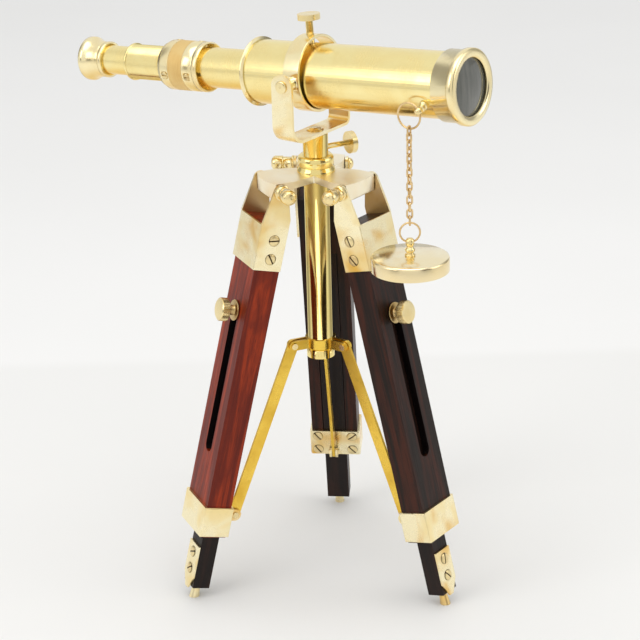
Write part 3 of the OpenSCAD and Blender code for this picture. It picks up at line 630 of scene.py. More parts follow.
def sharp_edges(work: bmesh.types.BMesh, corners: bool) -> list[bmesh.types.BMEdge]:
    """List the edges that get rounded.

    Args:
        work: The working shape.
        corners: Whether to keep only the bends between two wide faces.

    Returns:
        The edges.
    """
    found = []
    for edge in work.edges:
        length = edge.calc_length()
        if len(edge.link_faces) != 2 or length < 0.6 * MM or edge.calc_face_angle(0.0) < math.radians(50):
            continue
        wide = all(face.calc_area() / length > 3.5 * MM for face in edge.link_faces)
        if not corners or (edge.is_convex and wide and length > 5 * MM):
            found.append(edge)
    return found


def evened(mesh: bpy.types.Mesh) -> bpy.types.Mesh:
    """Return a copy whose flat faces keep flat shading up to their rounded edges."""
    holder = held("holder", mesh)
    holder.modifiers.new("even", "WEIGHTED_NORMAL").keep_sharp = True
    return baked(holder)


def softened(node: str, edge_mm: float = 0.0, corner_mm: float = 0.0, angle: float = 34.0) -> bpy.types.Mesh:
    """Copy a CAD node's mesh, merge it and round its sharp edges.

    Args:
        node: The CAD node.
        edge_mm: Radius of the rounded edges, or 0 to leave them.
        corner_mm: Radius of the bends between wide faces, or 0 for edge_mm.
        angle: Smallest angle that stays sharp, in degrees.

    Returns:
        The new mesh.
    """
    work = bmesh.new()
    work.from_mesh(frame["nodes"][node].data)
    bmesh.ops.remove_doubles(work, verts=work.verts, dist=2e-6)
    if edge_mm:
        bmesh.ops.dissolve_limit(
            work, angle_limit=math.radians(0.4), verts=work.verts, edges=work.edges, delimit={"NORMAL"}
        )
        for radius, segments, corners in ((corner_mm, 4, True), (edge_mm, 2, False)):
            chosen = sharp_edges(work, corners) if radius else []
            if chosen:
                bmesh.ops.bevel(
                    work,
                    geom=chosen,
                    offset=radius * MM,
                    offset_type="OFFSET",
                    segments=segments,
                    profile=0.5,
                    affect="EDGES",
                    clamp_overlap=True,
                )
    mesh = mesh_from(work, node, angle)
    return evened(mesh) if edge_mm else mesh


def paint_shade(mesh: bpy.types.Mesh, amount: Callable[[Vector, Vector], float]) -> None:
    """Paint shade into faces: mark how dark each face is painted.

    Args:
        mesh: The mesh.
        amount: Darkness from 0 to 1 of a face, from its middle and its normal.
    """
    marks = mesh.attributes.new(PAINTED_SHADE, "FLOAT", "FACE")
    marks.data.foreach_set("value", [amount(face.center, face.normal) for face in mesh.polygons])


def facing_in(axes: Matrix, amount: float, deepest_mm: float = -1e3) -> Callable[[Vector, Vector], float]:
    """Return a rule that paints shade on faces looking across towards a middle plane.

    Args:
        axes: Placement whose Y is square to the plane.
        amount: Painted shade of those faces.
        deepest_mm: Faces below this height of the placement get no painted shade.

    Returns:
        The rule.
    """
    back = axes.inverted()

    def rule(middle: Vector, normal: Vector) -> float:
        """Return a face's painted shade."""
        at, out = back @ middle, back.to_3x3() @ normal
        return amount if out.y * at.y < 0 and abs(out.y) > 0.7 and at.z > deepest_mm * MM else 0.0

    return rule


# Repeats made with geometry nodes ---------------------------------------------


class RepeatTree(Graph):
    """A geometry node tree with named inputs that ends in real, dressed faces."""

    def __init__(self, name: str) -> None:
        """Start a tree with a name."""
        self.group = bpy.data.node_groups.new(name, "GeometryNodeTree")
        self.group.interface.new_socket("Geometry", in_out="OUTPUT", socket_type="NodeSocketGeometry")
        self.source = self.group.nodes.new("NodeGroupInput")

    def tree(self) -> bpy.types.NodeTree:
        """Return the node tree."""
        return self.group

    def input(self, name: str, kind: str) -> Value:
        """Add a named input.

        Args:
            name: Its name.
            kind: The end of its socket type's name.

        Returns:
            The value that it carries inside the tree.
        """
        self.group.interface.new_socket(name, in_out="INPUT", socket_type=f"NodeSocket{kind}")
        return Value(self, self.source.outputs[name])

    def shape(self, name: str) -> Value:
        """Add a named object input and return the object's shape."""
        given = self.input(name, "Object")
        return self.node("GeometryNodeObjectInfo", {"transform_space": "ORIGINAL"}, {"Object": given}, "Geometry")

    def about_z(self, value: Value) -> Value:
        """Return a vector that holds a value as its Z."""
        return self.node("ShaderNodeCombineXYZ", {}, {"Z": value})

    def repeat(self, points: Value, shape: Value, turns: Value, **more: Value) -> None:
        """Put a shape on points and end the tree in real faces with their finish.

        Args:
            points: Where the copies go.
            shape: What is copied.
            turns: Turns of the copies, as Euler angles.
            more: Other inputs of the copying node.
        """
        facing = self.node("FunctionNodeEulerToRotation", {}, {0: turns})
        inputs = {"Points": points, "Instance": shape, "Rotation": facing, **more}
        copies = self.node("GeometryNodeInstanceOnPoints", {}, inputs)
        real = self.node("GeometryNodeRealizeInstances", {}, {0: copies})
        finish = self.input("Finish", "Material")
        dressed = self.node("GeometryNodeSetMaterial", {}, {"Geometry": real, "Material": finish})
        self.group.links.new(dressed.socket, self.group.nodes.new("NodeGroupOutput").inputs[0])

    def run(self, mesh: bpy.types.Mesh, values: dict) -> bpy.types.Mesh:
        """Evaluate the tree on a mesh.

        Args:
            mesh: The mesh it starts from.
            values: The named inputs' values.

        Returns:
            The resulting plain mesh.
        """
        holder = held("holder", mesh)
        modifier = holder.modifiers.new("repeat", "NODES")
        modifier.node_group = self.group
        for item in self.group.interface.items_tree:
            if item.in_out == "INPUT" and item.name in values:
                modifier[item.identifier] = values[item.name]
        return baked(holder)


class PointRepeater:
    """Puts one shape on a list of placements."""

    def __init__(self) -> None:
        """Build the tree."""
        kit = RepeatTree("Shape on points")
        source = kit.input("Geometry", "Geometry")
        shape, size = kit.shape("Shape"), kit.input("Size", "Float")
        turns = kit.node("GeometryNodeInputNamedAttribute", {"data_type": "FLOAT_VECTOR"}, {"Name": "facing"})
        points = kit.node("GeometryNodeMeshToPoints", {}, {"Mesh": source})
        kit.repeat(points, shape, turns, Scale=size)
        self.kit = kit

    def put(self, shape: bpy.types.Mesh, places: list[Matrix], finish: Finish, size: float = 1.0) -> bpy.types.Mesh:
        """Repeat a shape.

        Args:
            shape: The shape, at the origin.
            places: Where each copy goes.
            finish: The copies' finish.
            size: Scale of the copies.

        Returns:
            One mesh with every copy.
        """
        model = held("shape", shape)
        dots = bpy.data.meshes.new("dots")
        dots.from_pydata([p.to_translation() for p in places], [], [])
        facing = dots.attributes.new("facing", "FLOAT_VECTOR", "POINT")
        for i, place in enumerate(places):
            facing.data[i].vector = place.to_euler("XYZ")
        made = self.kit.run(dots, {"Shape": model, "Size": size, "Finish": finish.build()})
        bpy.data.objects.remove(model)
        shade(made)
        return made


class KnurlMaker:
    """Rings of small ridges round a turned head."""

    def __init__(self) -> None:
        """Build the tree."""
        kit = RepeatTree("Knurled rim")
        kit.input("Geometry", "Geometry")
        count, radius = kit.input("Ridges", "Int"), kit.input("Radius", "Float")
        width, ridge = kit.input("Width", "Float"), kit.input("Ridge", "Float")
        ring = kit.node("GeometryNodeMeshCircle", {}, {"Vertices": count, "Radius": radius})
        bar = kit.node("GeometryNodeMeshCylinder", {}, {"Vertices": 4, "Radius": ridge, "Depth": width})
        share = kit.maths("DIVIDE", kit.node("GeometryNodeInputIndex", {}, {}), count)
        kit.repeat(ring, bar, kit.about_z(share * (2 * math.pi)))
        self.kit = kit

    def ring(
        self, ridges: int, radius_mm: float, width_mm: float, ridge_mm: float, finish: Finish
    ) -> bpy.types.Mesh:
        """Make one knurled ring about Z, centred on the origin.

        Args:
            ridges: Number of ridges.
            radius_mm: Radius of their middles.
            width_mm: Length of each along the axis.
            ridge_mm: Half diagonal of each.
            finish: Their finish.

        Returns:
            The ring's mesh.
        """
        start = bpy.data.meshes.new("start")
        values = {
            "Ridges": ridges,
            "Radius": radius_mm * MM,
            "Width": width_mm * MM,
            "Ridge": ridge_mm * MM,
            "Finish": finish.build(),
        }
        return self.kit.run(start, values)


class ChainMaker:
    """A row of links, each turned a step further than the one above."""

    def __init__(self) -> None:
        """Build the tree."""
        kit = RepeatTree("Hanging links")
        kit.input("Geometry", "Geometry")
        count, pitch = kit.input("Links", "Int"), kit.input("Pitch", "Float")
        first, step = kit.input("First turn", "Float"), kit.input("Turn step", "Float")
        link = kit.shape("Link")
        fall = kit.about_z(pitch * -1.0)
        row = kit.node("GeometryNodeMeshLine", {"mode": "OFFSET"}, {"Count": count, "Offset": fall})
        index = kit.node("GeometryNodeInputIndex", {}, {})
        kit.repeat(row, link, kit.about_z(index * step + first))
        self.kit = kit

    def row(
        self, link: bpy.types.Mesh, links: int, pitch_mm: float, first: float, step: float, finish: Finish
    ) -> bpy.types.Mesh:
        """Hang a row of links down from the origin.

        Args:
            link: One link, centred on the origin.
            links: Number of links.
            pitch_mm: Distance between neighbours.
            first: Turn of the first link, in radians.
            step: Further turn of each next link, in radians.
            finish: The links' finish.

        Returns:
            One mesh with every link.
        """
        model = held("link", link)
        start = bpy.data.meshes.new("start")
        values = {
            "Links": links,
            "Pitch": pitch_mm * MM,
            "First turn": first,
            "Turn step": step,
            "Link": model,
            "Finish": finish.build(),
        }
        made = self.kit.run(start, values)
        bpy.data.objects.remove(model)
        shade(made, 60.0)
        return made


# Finishes ---------------------------------------------------------------------


class Metal(Enum):
    """The brasses of the object, by what they are used on."""

    TUBE = "Brass tube"
    TURNED = "Brass turned"
    SATIN = "Brass satin"
    BUFFED = "Brass buffed"
    COLUMN = "Brass column"
    SHEET = "Brass sheet"
    STRUTS = "Brass struts"
    SMALL = "Brass small"
    SCREWS = "Brass screws"
    AGED = "Brass aged"
    MATTE = "Brass matte"


class Timber(Enum):
    """The woods of the object, by what they are used on."""

    RED = "Wood red"
    BROWN = "Wood brown"
    SLIDER = "Wood slider"


LOOKS: dict[Enum, dict] = {
    Timber.RED: dict(light=(0.36, 0.036, 0.004), dark=(0.13, 0.010, 0.002), streak=0.4, gloss=0.08),
    Timber.BROWN: dict(light=(0.050, 0.010, 0.003), dark=(0.010, 0.004, 0.002), streak=0.45, gloss=0.08),
    Timber.SLIDER: dict(light=(0.026, 0.009, 0.005), dark=(0.008, 0.004, 0.003), streak=0.4, gloss=0.08),
    Metal.TUBE: dict(colour=(1.0, 0.86, 0.42), deep=(0.90, 0.58, 0.12), cloud=0.2, painted_underside_shade=0.85,
                     roughness=0.15, lines=0.25),
    Metal.TURNED: dict(colour=(1.0, 0.88, 0.54), deep=(0.90, 0.62, 0.20), cloud=0.3, painted_underside_shade=0.7,
                       roughness=0.15, lines=0.2),
    Metal.SATIN: dict(colour=(1.0, 0.92, 0.72), deep=(0.98, 0.82, 0.50), cloud=0.3, roughness=0.38,
                      smear=0.1, amber=0.25),
    Metal.BUFFED: dict(colour=(1.0, 0.91, 0.66), deep=(0.96, 0.76, 0.36), cloud=0.3, roughness=0.14,
                       smear=0.08, amber=0.2, painted_shade_colour=(0.80, 0.52, 0.10)),
    Metal.COLUMN: dict(colour=(0.95, 0.78, 0.32), deep=(0.84, 0.57, 0.13), cloud=0.35, roughness=0.09,
                       smear=0.06, lines=0.12),
    Metal.SHEET: dict(colour=(1.0, 0.90, 0.60), deep=(0.96, 0.70, 0.22), cloud=0.6, roughness=0.24,
                      smear=0.14, tarnish=0.05, amber=0.85, painted_shade_colour=(0.42, 0.19, 0.025)),
    Metal.STRUTS: dict(colour=(0.92, 0.62, 0.10), deep=(0.74, 0.42, 0.04), cloud=0.6, roughness=0.24,
                       smear=0.14, tarnish=0.12),
    Metal.SMALL: dict(colour=(0.95, 0.80, 0.44), deep=(0.84, 0.56, 0.17), cloud=0.5, roughness=0.18,
                      smear=0.1, tarnish=0.06, painted_shade_colour=(0.34, 0.17, 0.03)),
    Metal.SCREWS: dict(colour=(0.90, 0.74, 0.40), deep=(0.68, 0.46, 0.18), cloud=0.6, roughness=0.28,
                       smear=0.12, tarnish=0.2, painted_shade_colour=(0.05, 0.028, 0.012)),
    Metal.AGED: dict(colour=(0.86, 0.64, 0.34), deep=(0.56, 0.37, 0.16), cloud=0.8, roughness=0.24,
                     smear=0.15, tarnish=0.3),
    Metal.MATTE: dict(colour=(0.86, 0.65, 0.30), deep=(0.74, 0.50, 0.18), cloud=0.5, roughness=0.5,
                      smear=0.12, lines=0.9),
}


@dataclass(frozen=True)
class Finishes:
    """Every finish of the object."""

    layout: Layout

    def brass(self, kind: Metal) -> Brass:
        """Return a brass, its turned lines about the column or about the barrel."""
        axes = Matrix.Identity(4) if kind is Metal.COLUMN else self.layout.tube()
        return Brass(kind.value, axes=axes, **LOOKS[kind])

    def wood(self, kind: Timber, letter: str) -> Wood:
        """Return a wood whose grain runs along a leg.

        Args:
            kind: Which wood.
            letter: The leg's letter.

        Returns:
            Its finish.
        """
        name = kind.value if kind is Timber.RED else f"{kind.value} {letter}"
        return Wood(name, axes=self.layout.leg(letter), **LOOKS[kind])


# Sub-assemblies -----------------------------------------------------------------


@dataclass
class Assembly:
    """Base of the sub-assemblies: re-dresses CAD nodes and adds pieces."""

    finishes: Finishes

    def redo(
        self,
        node: str,
        finish: Finish,
        edge_mm: float = 0.0,
        corner_mm: float = 0.0,
        angle: float = 34.0,
        painted_shade: Callable[[Vector, Vector], float] | None = None,
    ) -> None:
        """Stand a merged, smooth, edge-rounded copy in for a CAD node.

        Args:
            node: The CAD node.
            finish: Its finish.
            edge_mm: Radius of its rounded edges.
            corner_mm: Radius of its bends between wide faces.
            angle: Smallest angle that stays sharp, in degrees.
            painted_shade: Rule that paints shade into faces, if any.
        """
        mesh = softened(node, edge_mm, corner_mm, angle)
        if painted_shade:
            paint_shade(mesh, painted_shade)
        self.stand_in(node, mesh, finish)

    def redo_all(self, metals: dict[str, tuple[Metal, float]]) -> None:
        """Stand copies in for nodes, each with its brass and its edge radius in mm."""
        for node, (metal, edge_mm) in metals.items():
            self.redo(node, self.finishes.brass(metal), edge_mm)

    def stand_in(self, node: str, mesh: bpy.types.Mesh, finish: Finish) -> bpy.types.Object:
        """Show a mesh in place of a CAD node.

        Args:
            node: The CAD node.
            mesh: The mesh, in the row frame.
            finish: Its finish.

        Returns:
            The new piece.
        """
        piece = held(f"{node}_shown", mesh)
        mesh.materials.clear()
        mesh.materials.append(finish.build())
        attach(piece, frame["nodes"][node]["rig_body"])
        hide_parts(node)
        LOG.info("%s: %d faces", piece.name, len(mesh.polygons))
        return piece


@dataclass
class Stand(Assembly):
    """Yoke, collar, column, its thumb screw, the spreader and the struts."""

    letters: str = "abc"

    def build(self) -> None:
        """Dress the stand's pieces."""
        self.redo_all({
            "yoke": (Metal.SATIN, 0.35),
            "collar": (Metal.COLUMN, 0.0),
            "column": (Metal.COLUMN, 0.0),
            "column_thumbscrew": (Metal.SMALL, 0.3),
            "spreader": (Metal.STRUTS, 0.2),
            "spreader_pins": (Metal.SMALL, 0.15),
        })
        self.redo_all({f"strut_{letter}": (Metal.STRUTS, 0.18) for letter in self.letters})


@dataclass
class Leg(Assembly):
    """One leg with its brackets, screws, sliding part, foot and clamp knob."""

    layout: Layout
    points: PointRepeater
    knurl: KnurlMaker
    letter: str
    half_width_mm: float = 13.0
    sheet_mm: float = 1.3
    screw_head_mm: float = 6.0
    bracket_rows_mm: tuple[float, float] = (-25.4, -35.4)
    bracket_screw_x_mm: float = -1.2
    band_rows_mm: tuple[float, float] = (-177.4, -186.8)
    band_screw_mm: tuple[float, float] = (-9.3, 9.8)
    foot_rows_mm: tuple[float, float] = (-205.0, -214.5)
    foot_face_mm: float = 3.0
    clamp_mm: float = -68.0
    clamp_seat_mm: float = 6.0
    pivot_mm: tuple[float, float] = (-16.5, -182.6)
    knob_mm: float = 12.0

    def build(self) -> None:
        """Dress the leg's pieces and add its screws and knob."""
        f, k, leg = self.finishes, self.letter, self.layout.leg(self.letter)
        # Painted shade on the leg's channel walls and slot walls.
        self.redo(f"leg_{k}", f.wood(Timber.RED if k == "c" else Timber.BROWN, k), 0.55, painted_shade=self.inner_faces())
        self.redo(f"slider_{k}", f.wood(Timber.SLIDER, k), 0.4)
        # Painted shade on the bracket's faces that look in towards the leg's middle.
        self.redo(f"top_bracket_{k}", f.brass(Metal.SHEET), 0.3, 1.1, painted_shade=facing_in(leg, 0.6))
        self.redo(f"leg_band_{k}", f.brass(Metal.SHEET), 0.3, 1.1)
        self.redo(f"hinge_bolt_{k}", f.brass(Metal.SMALL))
        self.redo(f"foot_{k}", f.brass(Metal.SHEET), 0.2)
        self.stand_in(f"leg_screws_{k}", self.leg_screws(), f.brass(Metal.SCREWS))
        self.stand_in(f"foot_screws_{k}", self.foot_screws(), f.brass(Metal.SCREWS))
        self.stand_in(f"clamp_knob_{k}", self.clamp_knob(), f.brass(Metal.SMALL))

    def inner_faces(self) -> Callable[[Vector, Vector], float]:
        """Return a rule that paints shade on the channel's inner faces and the slot's walls."""
        back, half = self.layout.leg(self.letter).inverted(), self.half_width_mm

        def rule(middle: Vector, normal: Vector) -> float:
            """Return a face's painted shade."""
            at, out = (back @ middle) / MM, back.to_3x3() @ normal
            return 1.0 if abs(at.y) < half - 0.8 and abs(out.x) < 0.9 and abs(out.z) < 0.9 else 0.0

        return rule

    def screw_head(self) -> bpy.types.Mesh:
        """Return one slotted, slightly domed screw head with its shank, with painted shade in its slot and round
        its rim.
        """
        r = self.screw_head_mm / 2
        made = lathe([(0, -3.6), (1.1, -3.4), (1.1, 0.0), (r, 0.0), (r, 0.12), (r - 0.25, 0.42),
                      (r - 0.9, 0.62), (r - 1.7, 0.7), (0, 0.72)], 28)
        body = held("screw", mesh_from(made, "screw head"))
        block = bmesh.new()
        slot = Matrix.Translation((0, 0, 0.62 * MM)) @ Matrix.Diagonal((8 * MM, 0.75 * MM, 0.62 * MM, 1))
        bmesh.ops.create_cube(block, size=1.0, matrix=slot)
        cut_mesh = bpy.data.meshes.new("slot")
        block.to_mesh(cut_mesh)
        block.free()
        cutter = held("slot", cut_mesh)
        cut = body.modifiers.new("slot", "BOOLEAN")
        cut.object, cut.operation = cutter, "DIFFERENCE"
        result = baked(body)
        bpy.data.objects.remove(cutter)

        def rule(middle: Vector, normal: Vector) -> float:
            """Return the painted shade of the slot and of the low rim."""
            at = middle / MM
            in_slot = abs(at.y) < 0.4 and at.z < 0.6
            return 1.0 if in_slot or at.z < 0.1 else (0.5 if math.hypot(at.x, at.y) > r - 0.2 else 0.0)

        paint_shade(result, rule)
        return result

    def turned(self, salt: int) -> random.Random:
        """Return this leg's own source of screw turns."""
        return random.Random(f"{self.letter}{salt}")

    def leg_screws(self) -> bpy.types.Mesh:
        """Return the bracket and band screws with the strut's pivot pin."""
        leg, dice, places = self.layout.leg(self.letter), self.turned(1), []
        out = self.half_width_mm + self.sheet_mm
        for side in (-1, 1):
            for z in self.bracket_rows_mm:
                at = leg @ (Vector((self.bracket_screw_x_mm, side * out, z)) * MM)
                places.append(aimed(leg.to_3x3() @ Vector((0, side, 0)), at, dice.uniform(0, math.pi)))
            for z in self.band_rows_mm:
                at = leg @ (Vector((self.band_screw_mm[0], side * self.band_screw_mm[1], z)) * MM)
                places.append(aimed(leg.to_3x3() @ Vector((-1, 0, 0)), at, dice.uniform(0, math.pi)))
        made = self.points.put(self.screw_head(), places, self.finishes.brass(Metal.SCREWS))
        work = bmesh.new()
        work.from_mesh(made)
        pin = lathe([(0, -3.05), (1.4, -3.0), (1.7, -2.75), (1.7, -2.35), (0.95, -2.35), (0.95, 2.35),
                     (1.7, 2.35), (1.7, 2.75), (1.4, 3.0), (0, 3.05)], 24)
        x, z = self.pivot_mm
        place_into(work, pin, leg @ Matrix.Translation((x * MM, 0, z * MM)) @ Matrix.Rotation(math.pi / 2, 4, "X"))
        return mesh_from(work, f"leg_screws_{self.letter}")

    def foot_screws(self) -> bpy.types.Mesh:
        """Return the two screws of the foot plate."""
        leg, dice = self.layout.leg(self.letter), self.turned(2)
        face = leg.to_3x3() @ Vector((1, 0, 0))
        heads = [leg @ (Vector((self.foot_face_mm, 0, z)) * MM) for z in self.foot_rows_mm]
        places = [aimed(face, head, dice.uniform(0, math.pi)) for head in heads]
        return self.points.put(self.screw_head(), places, self.finishes.brass(Metal.SCREWS))

    def clamp_knob(self) -> bpy.types.Mesh:
        """Return the clamp knob with its knurled rim."""
        r = self.knob_mm / 2
        work = lathe([(0, -9.6), (1.9, -9.5), (1.9, 0.32), (5.3, 0.32), (5.5, 0.5), (5.5, 0.9), (5.3, 1.1),
                      (2.9, 1.3), (2.7, 1.6), (2.7, 4.75), (r - 0.9, 4.8), (r - 0.3, 5.2), (r - 0.3, 9.0),
                      (r - 0.75, 9.45), (r - 1.6, 9.55), (0, 9.6)], 56)
        ring = self.knurl.ring(44, r - 0.22, 3.6, 0.32, self.finishes.brass(Metal.SMALL))
        rim = bmesh.new()
        rim.from_mesh(ring)
        place_into(work, rim, Matrix.Translation((0, 0, 7.1 * MM)))
        leg = self.layout.leg(self.letter)
        seat = leg @ (Vector((self.clamp_seat_mm, 0, self.clamp_mm)) * MM)
        place = aimed(leg.to_3x3() @ Vector((1, 0, 0)), seat)
        bmesh.ops.transform(work, matrix=place, verts=work.verts)
        mesh = mesh_from(work, f"clamp_knob_{self.letter}")
        back = place.inverted()

        def rule(middle: Vector, normal: Vector) -> float:
            """Return the painted shade of the washer, the neck and the rim."""
            at, out = (back @ middle) / MM, back.to_3x3() @ normal
            return 0.55 if at.z < 4.9 else (0.0 if out.z > 0.5 else 0.22)

        paint_shade(mesh, rule)
        return mesh


@dataclass
class Cradle(Assembly):
    """Fork, spindle, pivot screws, clamp ring and its thumb screw."""

    layout: Layout

    def build(self) -> None:
        """Dress the cradle's pieces."""
        f = self.finishes
        # Painted shade on the fork's faces that look in towards the barrel, down to 23 mm below the tilt axis.
        inner = facing_in(Matrix.Translation(self.layout.tilt), 0.6, -23.0)
        self.redo("fork", f.brass(Metal.SHEET), 0.25, 1.0, painted_shade=inner)
        self.redo("fork_spindle", f.brass(Metal.SMALL))
        self.redo("pivot_screws", f.brass(Metal.SMALL))
        self.redo("clamp_ring", f.brass(Metal.TURNED), 0.25)
        self.redo("ring_thumbscrew", f.brass(Metal.SMALL), 0.35)


@dataclass
class Telescope(Assembly):
    """Barrel, bezel, lenses, flanges, collars, draw tubes and eye cup."""

    def build(self) -> None:
        """Dress the telescope's pieces."""
        self.redo_all({
            "barrel": (Metal.TUBE, 0.0),
            "rear_flange": (Metal.TURNED, 0.0),
            "bezel": (Metal.TURNED, 0.0),
            "eye_post": (Metal.SMALL, 0.0),
            "draw_tube_1": (Metal.TUBE, 0.0),
            "draw_tube_2": (Metal.TUBE, 0.0),
            "draw_tube_3": (Metal.TUBE, 0.0),
            "collar_front": (Metal.TURNED, 0.0),
            "collar_rear": (Metal.TURNED, 0.0),
            "eyecup": (Metal.TURNED, 0.0),
            "grip_band": (Metal.MATTE, 0.0),
            "collar_screws": (Metal.SCREWS, 0.0),
        })
        for node in ("objective", "eye_lens"):
            self.redo(node, LensGlass("Lens glass"), angle=60.0)


@dataclass
class CapAndChain(Assembly):
    """Split rings, chain links, lens cap and its knob."""

    links: ChainMaker
    wire_mm: float = 0.5
    link_pitch_mm: float = 3.5
    link_count: int = 14
    link_inside_mm: tuple[float, float] = (1.55, 3.65)
    upper_ring_mm: float = 6.4
    lower_ring_mm: float = 5.0
    lower_turn: float = math.radians(36)

    def build(self) -> None:
        """Build the rings and the chain and dress the cap."""
        f = self.finishes
        self.stand_in("split_ring_top", self.upper_ring(), f.brass(Metal.AGED))
        self.stand_in("chain", self.chain(), f.brass(Metal.AGED))
        # Painted shade: the cap's sides turn a little amber, its top stays as it is.
        self.redo("cap", f.brass(Metal.BUFFED), painted_shade=lambda middle, normal: 0.0 if normal.z > 0.6 else 0.3)
        self.redo("cap_knob", f.brass(Metal.SMALL))

    def wire_loop(self, path: list[Vector], closed: bool, sides: int = 10) -> bmesh.types.BMesh:
        """Sweep the wire's round section along a path.

        Args:
            path: Points of the wire's middle, in metres.
            closed: Whether the ends meet.
            sides: Sides of the section.

        Returns:
            The swept shape.
        """
        made, rings, count = bmesh.new(), [], len(path)
        for i, point in enumerate(path):
            before = path[i - 1] if i or closed else point
            after = path[(i + 1) % count] if i < count - 1 or closed else point
            along = (after - before).normalized()
            side = Vector((0, 1, 0)).cross(along)
            side = side.normalized() if side.length > 1e-6 else Vector((1, 0, 0))
            up = along.cross(side)
            turns = [2 * math.pi * k / sides for k in range(sides)]
            radii = [(side * math.cos(t) + up * math.sin(t)) * self.wire_mm * MM for t in turns]
            rings.append([made.verts.new(point + radius) for radius in radii])
        pairs = list(zip(rings, rings[1:])) + ([(rings[-1], rings[0])] if closed else [])
        for a, b in pairs:
            for k in range(sides):
                made.faces.new((a[k], a[(k + 1) % sides], b[(k + 1) % sides], b[k]))
        if not closed:
            made.faces.new(rings[0])
            made.faces.new(list(reversed(rings[-1])))
        bmesh.ops.recalc_face_normals(made, faces=made.faces)
        return made

    def split_ring(self, radius_mm: float, gap_at: float) -> bmesh.types.BMesh:
        """Return a wire ring in the XZ plane with a fine cut.

        Args:
            radius_mm: Radius of the wire's middle.
            gap_at: Angle of the cut, in radians.

        Returns:
            The ring.
        """
        cut = 0.12 / radius_mm
        turns = [gap_at + cut / 2 + (2 * math.pi - cut) * i / 63 for i in range(64)]
        return self.wire_loop([Vector((math.cos(t), 0, math.sin(t))) * radius_mm * MM for t in turns], False, 12)

    def upper_ring(self) -> bpy.types.Mesh:
        """Return the split ring on the ball post."""
        low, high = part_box("split_ring_top")
        made = self.split_ring(self.upper_ring_mm, math.radians(150))
        bmesh.ops.transform(made, matrix=Matrix.Translation((low + high) / 2), verts=made.verts)
        return mesh_from(made, "split_ring_top", 60.0)

    def link(self) -> bpy.types.Mesh:
        """Return one oval link in the XZ plane."""
        wide, tall = self.link_inside_mm
        bend = wide / 2 + self.wire_mm
        straight = (tall - wide) / 2
        path = []
        for i in range(28):
            t = 2 * math.pi * i / 28
            lift = straight if math.sin(t) > 1e-9 else -straight
            path.append(Vector((bend * math.cos(t), 0.0, bend * math.sin(t) + lift)) * MM)
        return mesh_from(self.wire_loop(path, True, 8), "link", 60.0)

    def chain(self) -> bpy.types.Mesh:
        """Return the links with the lower split ring."""
        low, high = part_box("chain")
        middle = Vector(JOINTS["chain_sway"]["pos_m"])
        first_z = high.z - (self.link_inside_mm[1] / 2 + 2 * self.wire_mm) * MM
        step = (self.lower_turn + math.pi * 6) / (self.link_count - 1)
        aged = self.finishes.brass(Metal.AGED)
        made = self.links.row(self.link(), self.link_count, self.link_pitch_mm, math.pi / 2, step, aged)
        work = bmesh.new()
        work.from_mesh(made)
        bmesh.ops.transform(work, matrix=Matrix.Translation((middle.x, middle.y, first_z)), verts=work.verts)
        ring_z = low.z + (self.lower_ring_mm + self.wire_mm) * MM
        place = Matrix.Translation((middle.x, middle.y, ring_z)) @ Matrix.Rotation(self.lower_turn, 4, "Z")
        place_into(work, self.split_ring(self.lower_ring_mm, math.radians(200)), place)
        return mesh_from(work, "chain", 60.0)


# Studio --------------------------------------------------------------------------


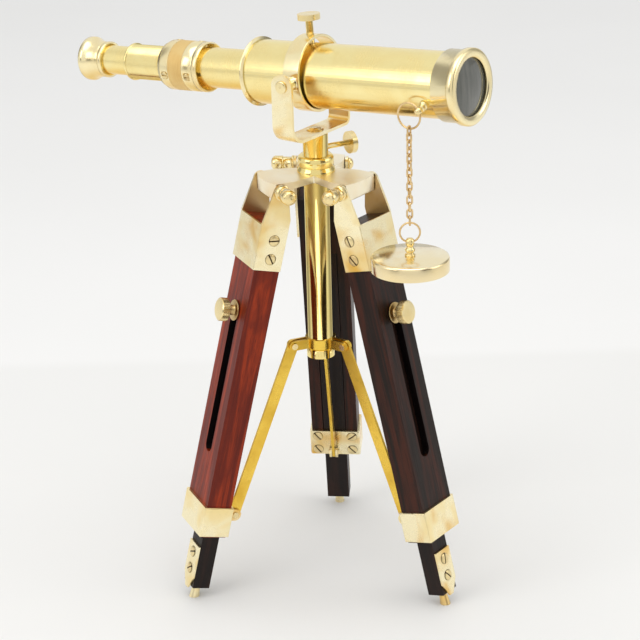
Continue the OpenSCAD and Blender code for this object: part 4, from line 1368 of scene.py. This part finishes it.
@dataclass
class Studio:
    """Pale floor, soft lamps, sky and camera."""

    column: Vector
    offset: Vector = field(default_factory=lambda: Vector((0.5886, -0.8084, 0.5437)))
    pitch: float = math.radians(-21.68)
    roll: float = math.radians(-1.5)
    lens: float = 114.24
    floor_size: float = 14.0

    def build(self) -> None:
        """Build the floor, the lamps, the sky and the camera."""
        self.floor()
        Sky(math.atan2(self.offset.y, self.offset.x)).build()
        self.lamps()
        self.camera()
        bpy.context.scene.view_settings.view_transform = "Standard"

    def looking(self) -> Vector:
        """Return the camera's level direction."""
        return Vector((-self.offset.x, -self.offset.y, 0.0)).normalized()

    def floor(self) -> None:
        """Lay the floor."""
        made = bmesh.new()
        bmesh.ops.create_grid(made, x_segments=2, y_segments=2, size=self.floor_size / 2)
        floor = held("Floor", mesh_from(made, "floor"))
        line = self.looking()
        sweep = Sweep("Studio floor", line=line, distance_mm=(self.column.dot(line) + 0.295) / MM)
        floor.data.materials.append(sweep.build())

    def lamps(self) -> None:
        """Hang the soft lamps."""
        middle = self.column + Vector((0, 0, 0.18))
        right = Vector((-self.looking().y, self.looking().x, 0)) * -1
        back = self.looking()
        self.lamp("Top", middle + Vector((0, 0, 1.25)) - back * 0.25, middle, 1.1, 4.9)
        self.lamp("Left", middle - right * 1.1 - back * 0.7 + Vector((0, 0, 0.75)), middle, 0.8, 3.7)
        self.lamp("Right", middle + right * 1.2 - back * 0.25 + Vector((0, 0, 0.6)), middle, 0.7, 1.9)

    def lamp(self, name: str, at: Vector, to: Vector, size: float, power: float) -> None:
        """Hang one square soft lamp.

        Args:
            name: Its name.
            at: Where it hangs.
            to: What it points at.
            size: Its side.
            power: Its power in watts.
        """
        data = bpy.data.lights.new(name, "AREA")
        data.size = size
        data.energy = power
        data.color = (1.0, 0.985, 0.96)
        lamp = bpy.data.objects.new(name, data)
        lamp.matrix_world = aimed(at - to, at)
        bpy.context.scene.collection.objects.link(lamp)

    def camera(self) -> None:
        """Set the camera at the viewing angle."""
        data = bpy.data.cameras.new("Camera")
        data.lens = self.lens
        data.sensor_width = 36.0
        data.clip_start, data.clip_end = 0.01, 50.0
        ahead = self.looking() * math.cos(self.pitch) + Vector((0, 0, math.sin(self.pitch)))
        right = ahead.cross(Vector((0, 0, 1))).normalized()
        up = right.cross(ahead)
        rolled = right * math.cos(self.roll) + up * math.sin(self.roll)
        upright = rolled.cross(ahead)
        camera = bpy.data.objects.new("Camera", data)
        camera.matrix_world = frame_matrix(rolled, upright, -ahead, self.column + self.offset)
        bpy.context.scene.collection.objects.link(camera)
        bpy.context.scene.camera = camera


def clear_start() -> None:
    """Remove everything that is not part of the frame."""
    known = set(frame["nodes"].values()) | set(frame["bodies"].values())
    for thing in list(bpy.data.objects):
        if thing not in known:
            bpy.data.objects.remove(thing)


def main() -> None:
    """Build the object and its studio in order."""
    logging.basicConfig(level=logging.INFO, format="%(name)s: %(message)s")
    clear_start()
    layout = Layout.read()
    finishes = Finishes(layout)
    points, knurl, links = PointRepeater(), KnurlMaker(), ChainMaker()
    Stand(finishes).build()
    for letter in "abc":
        Leg(finishes, layout, points, knurl, letter).build()
    Cradle(finishes, layout).build()
    Telescope(finishes).build()
    CapAndChain(finishes, links).build()
    Studio(layout.column).build()


if __name__ == "__main__":
    main()
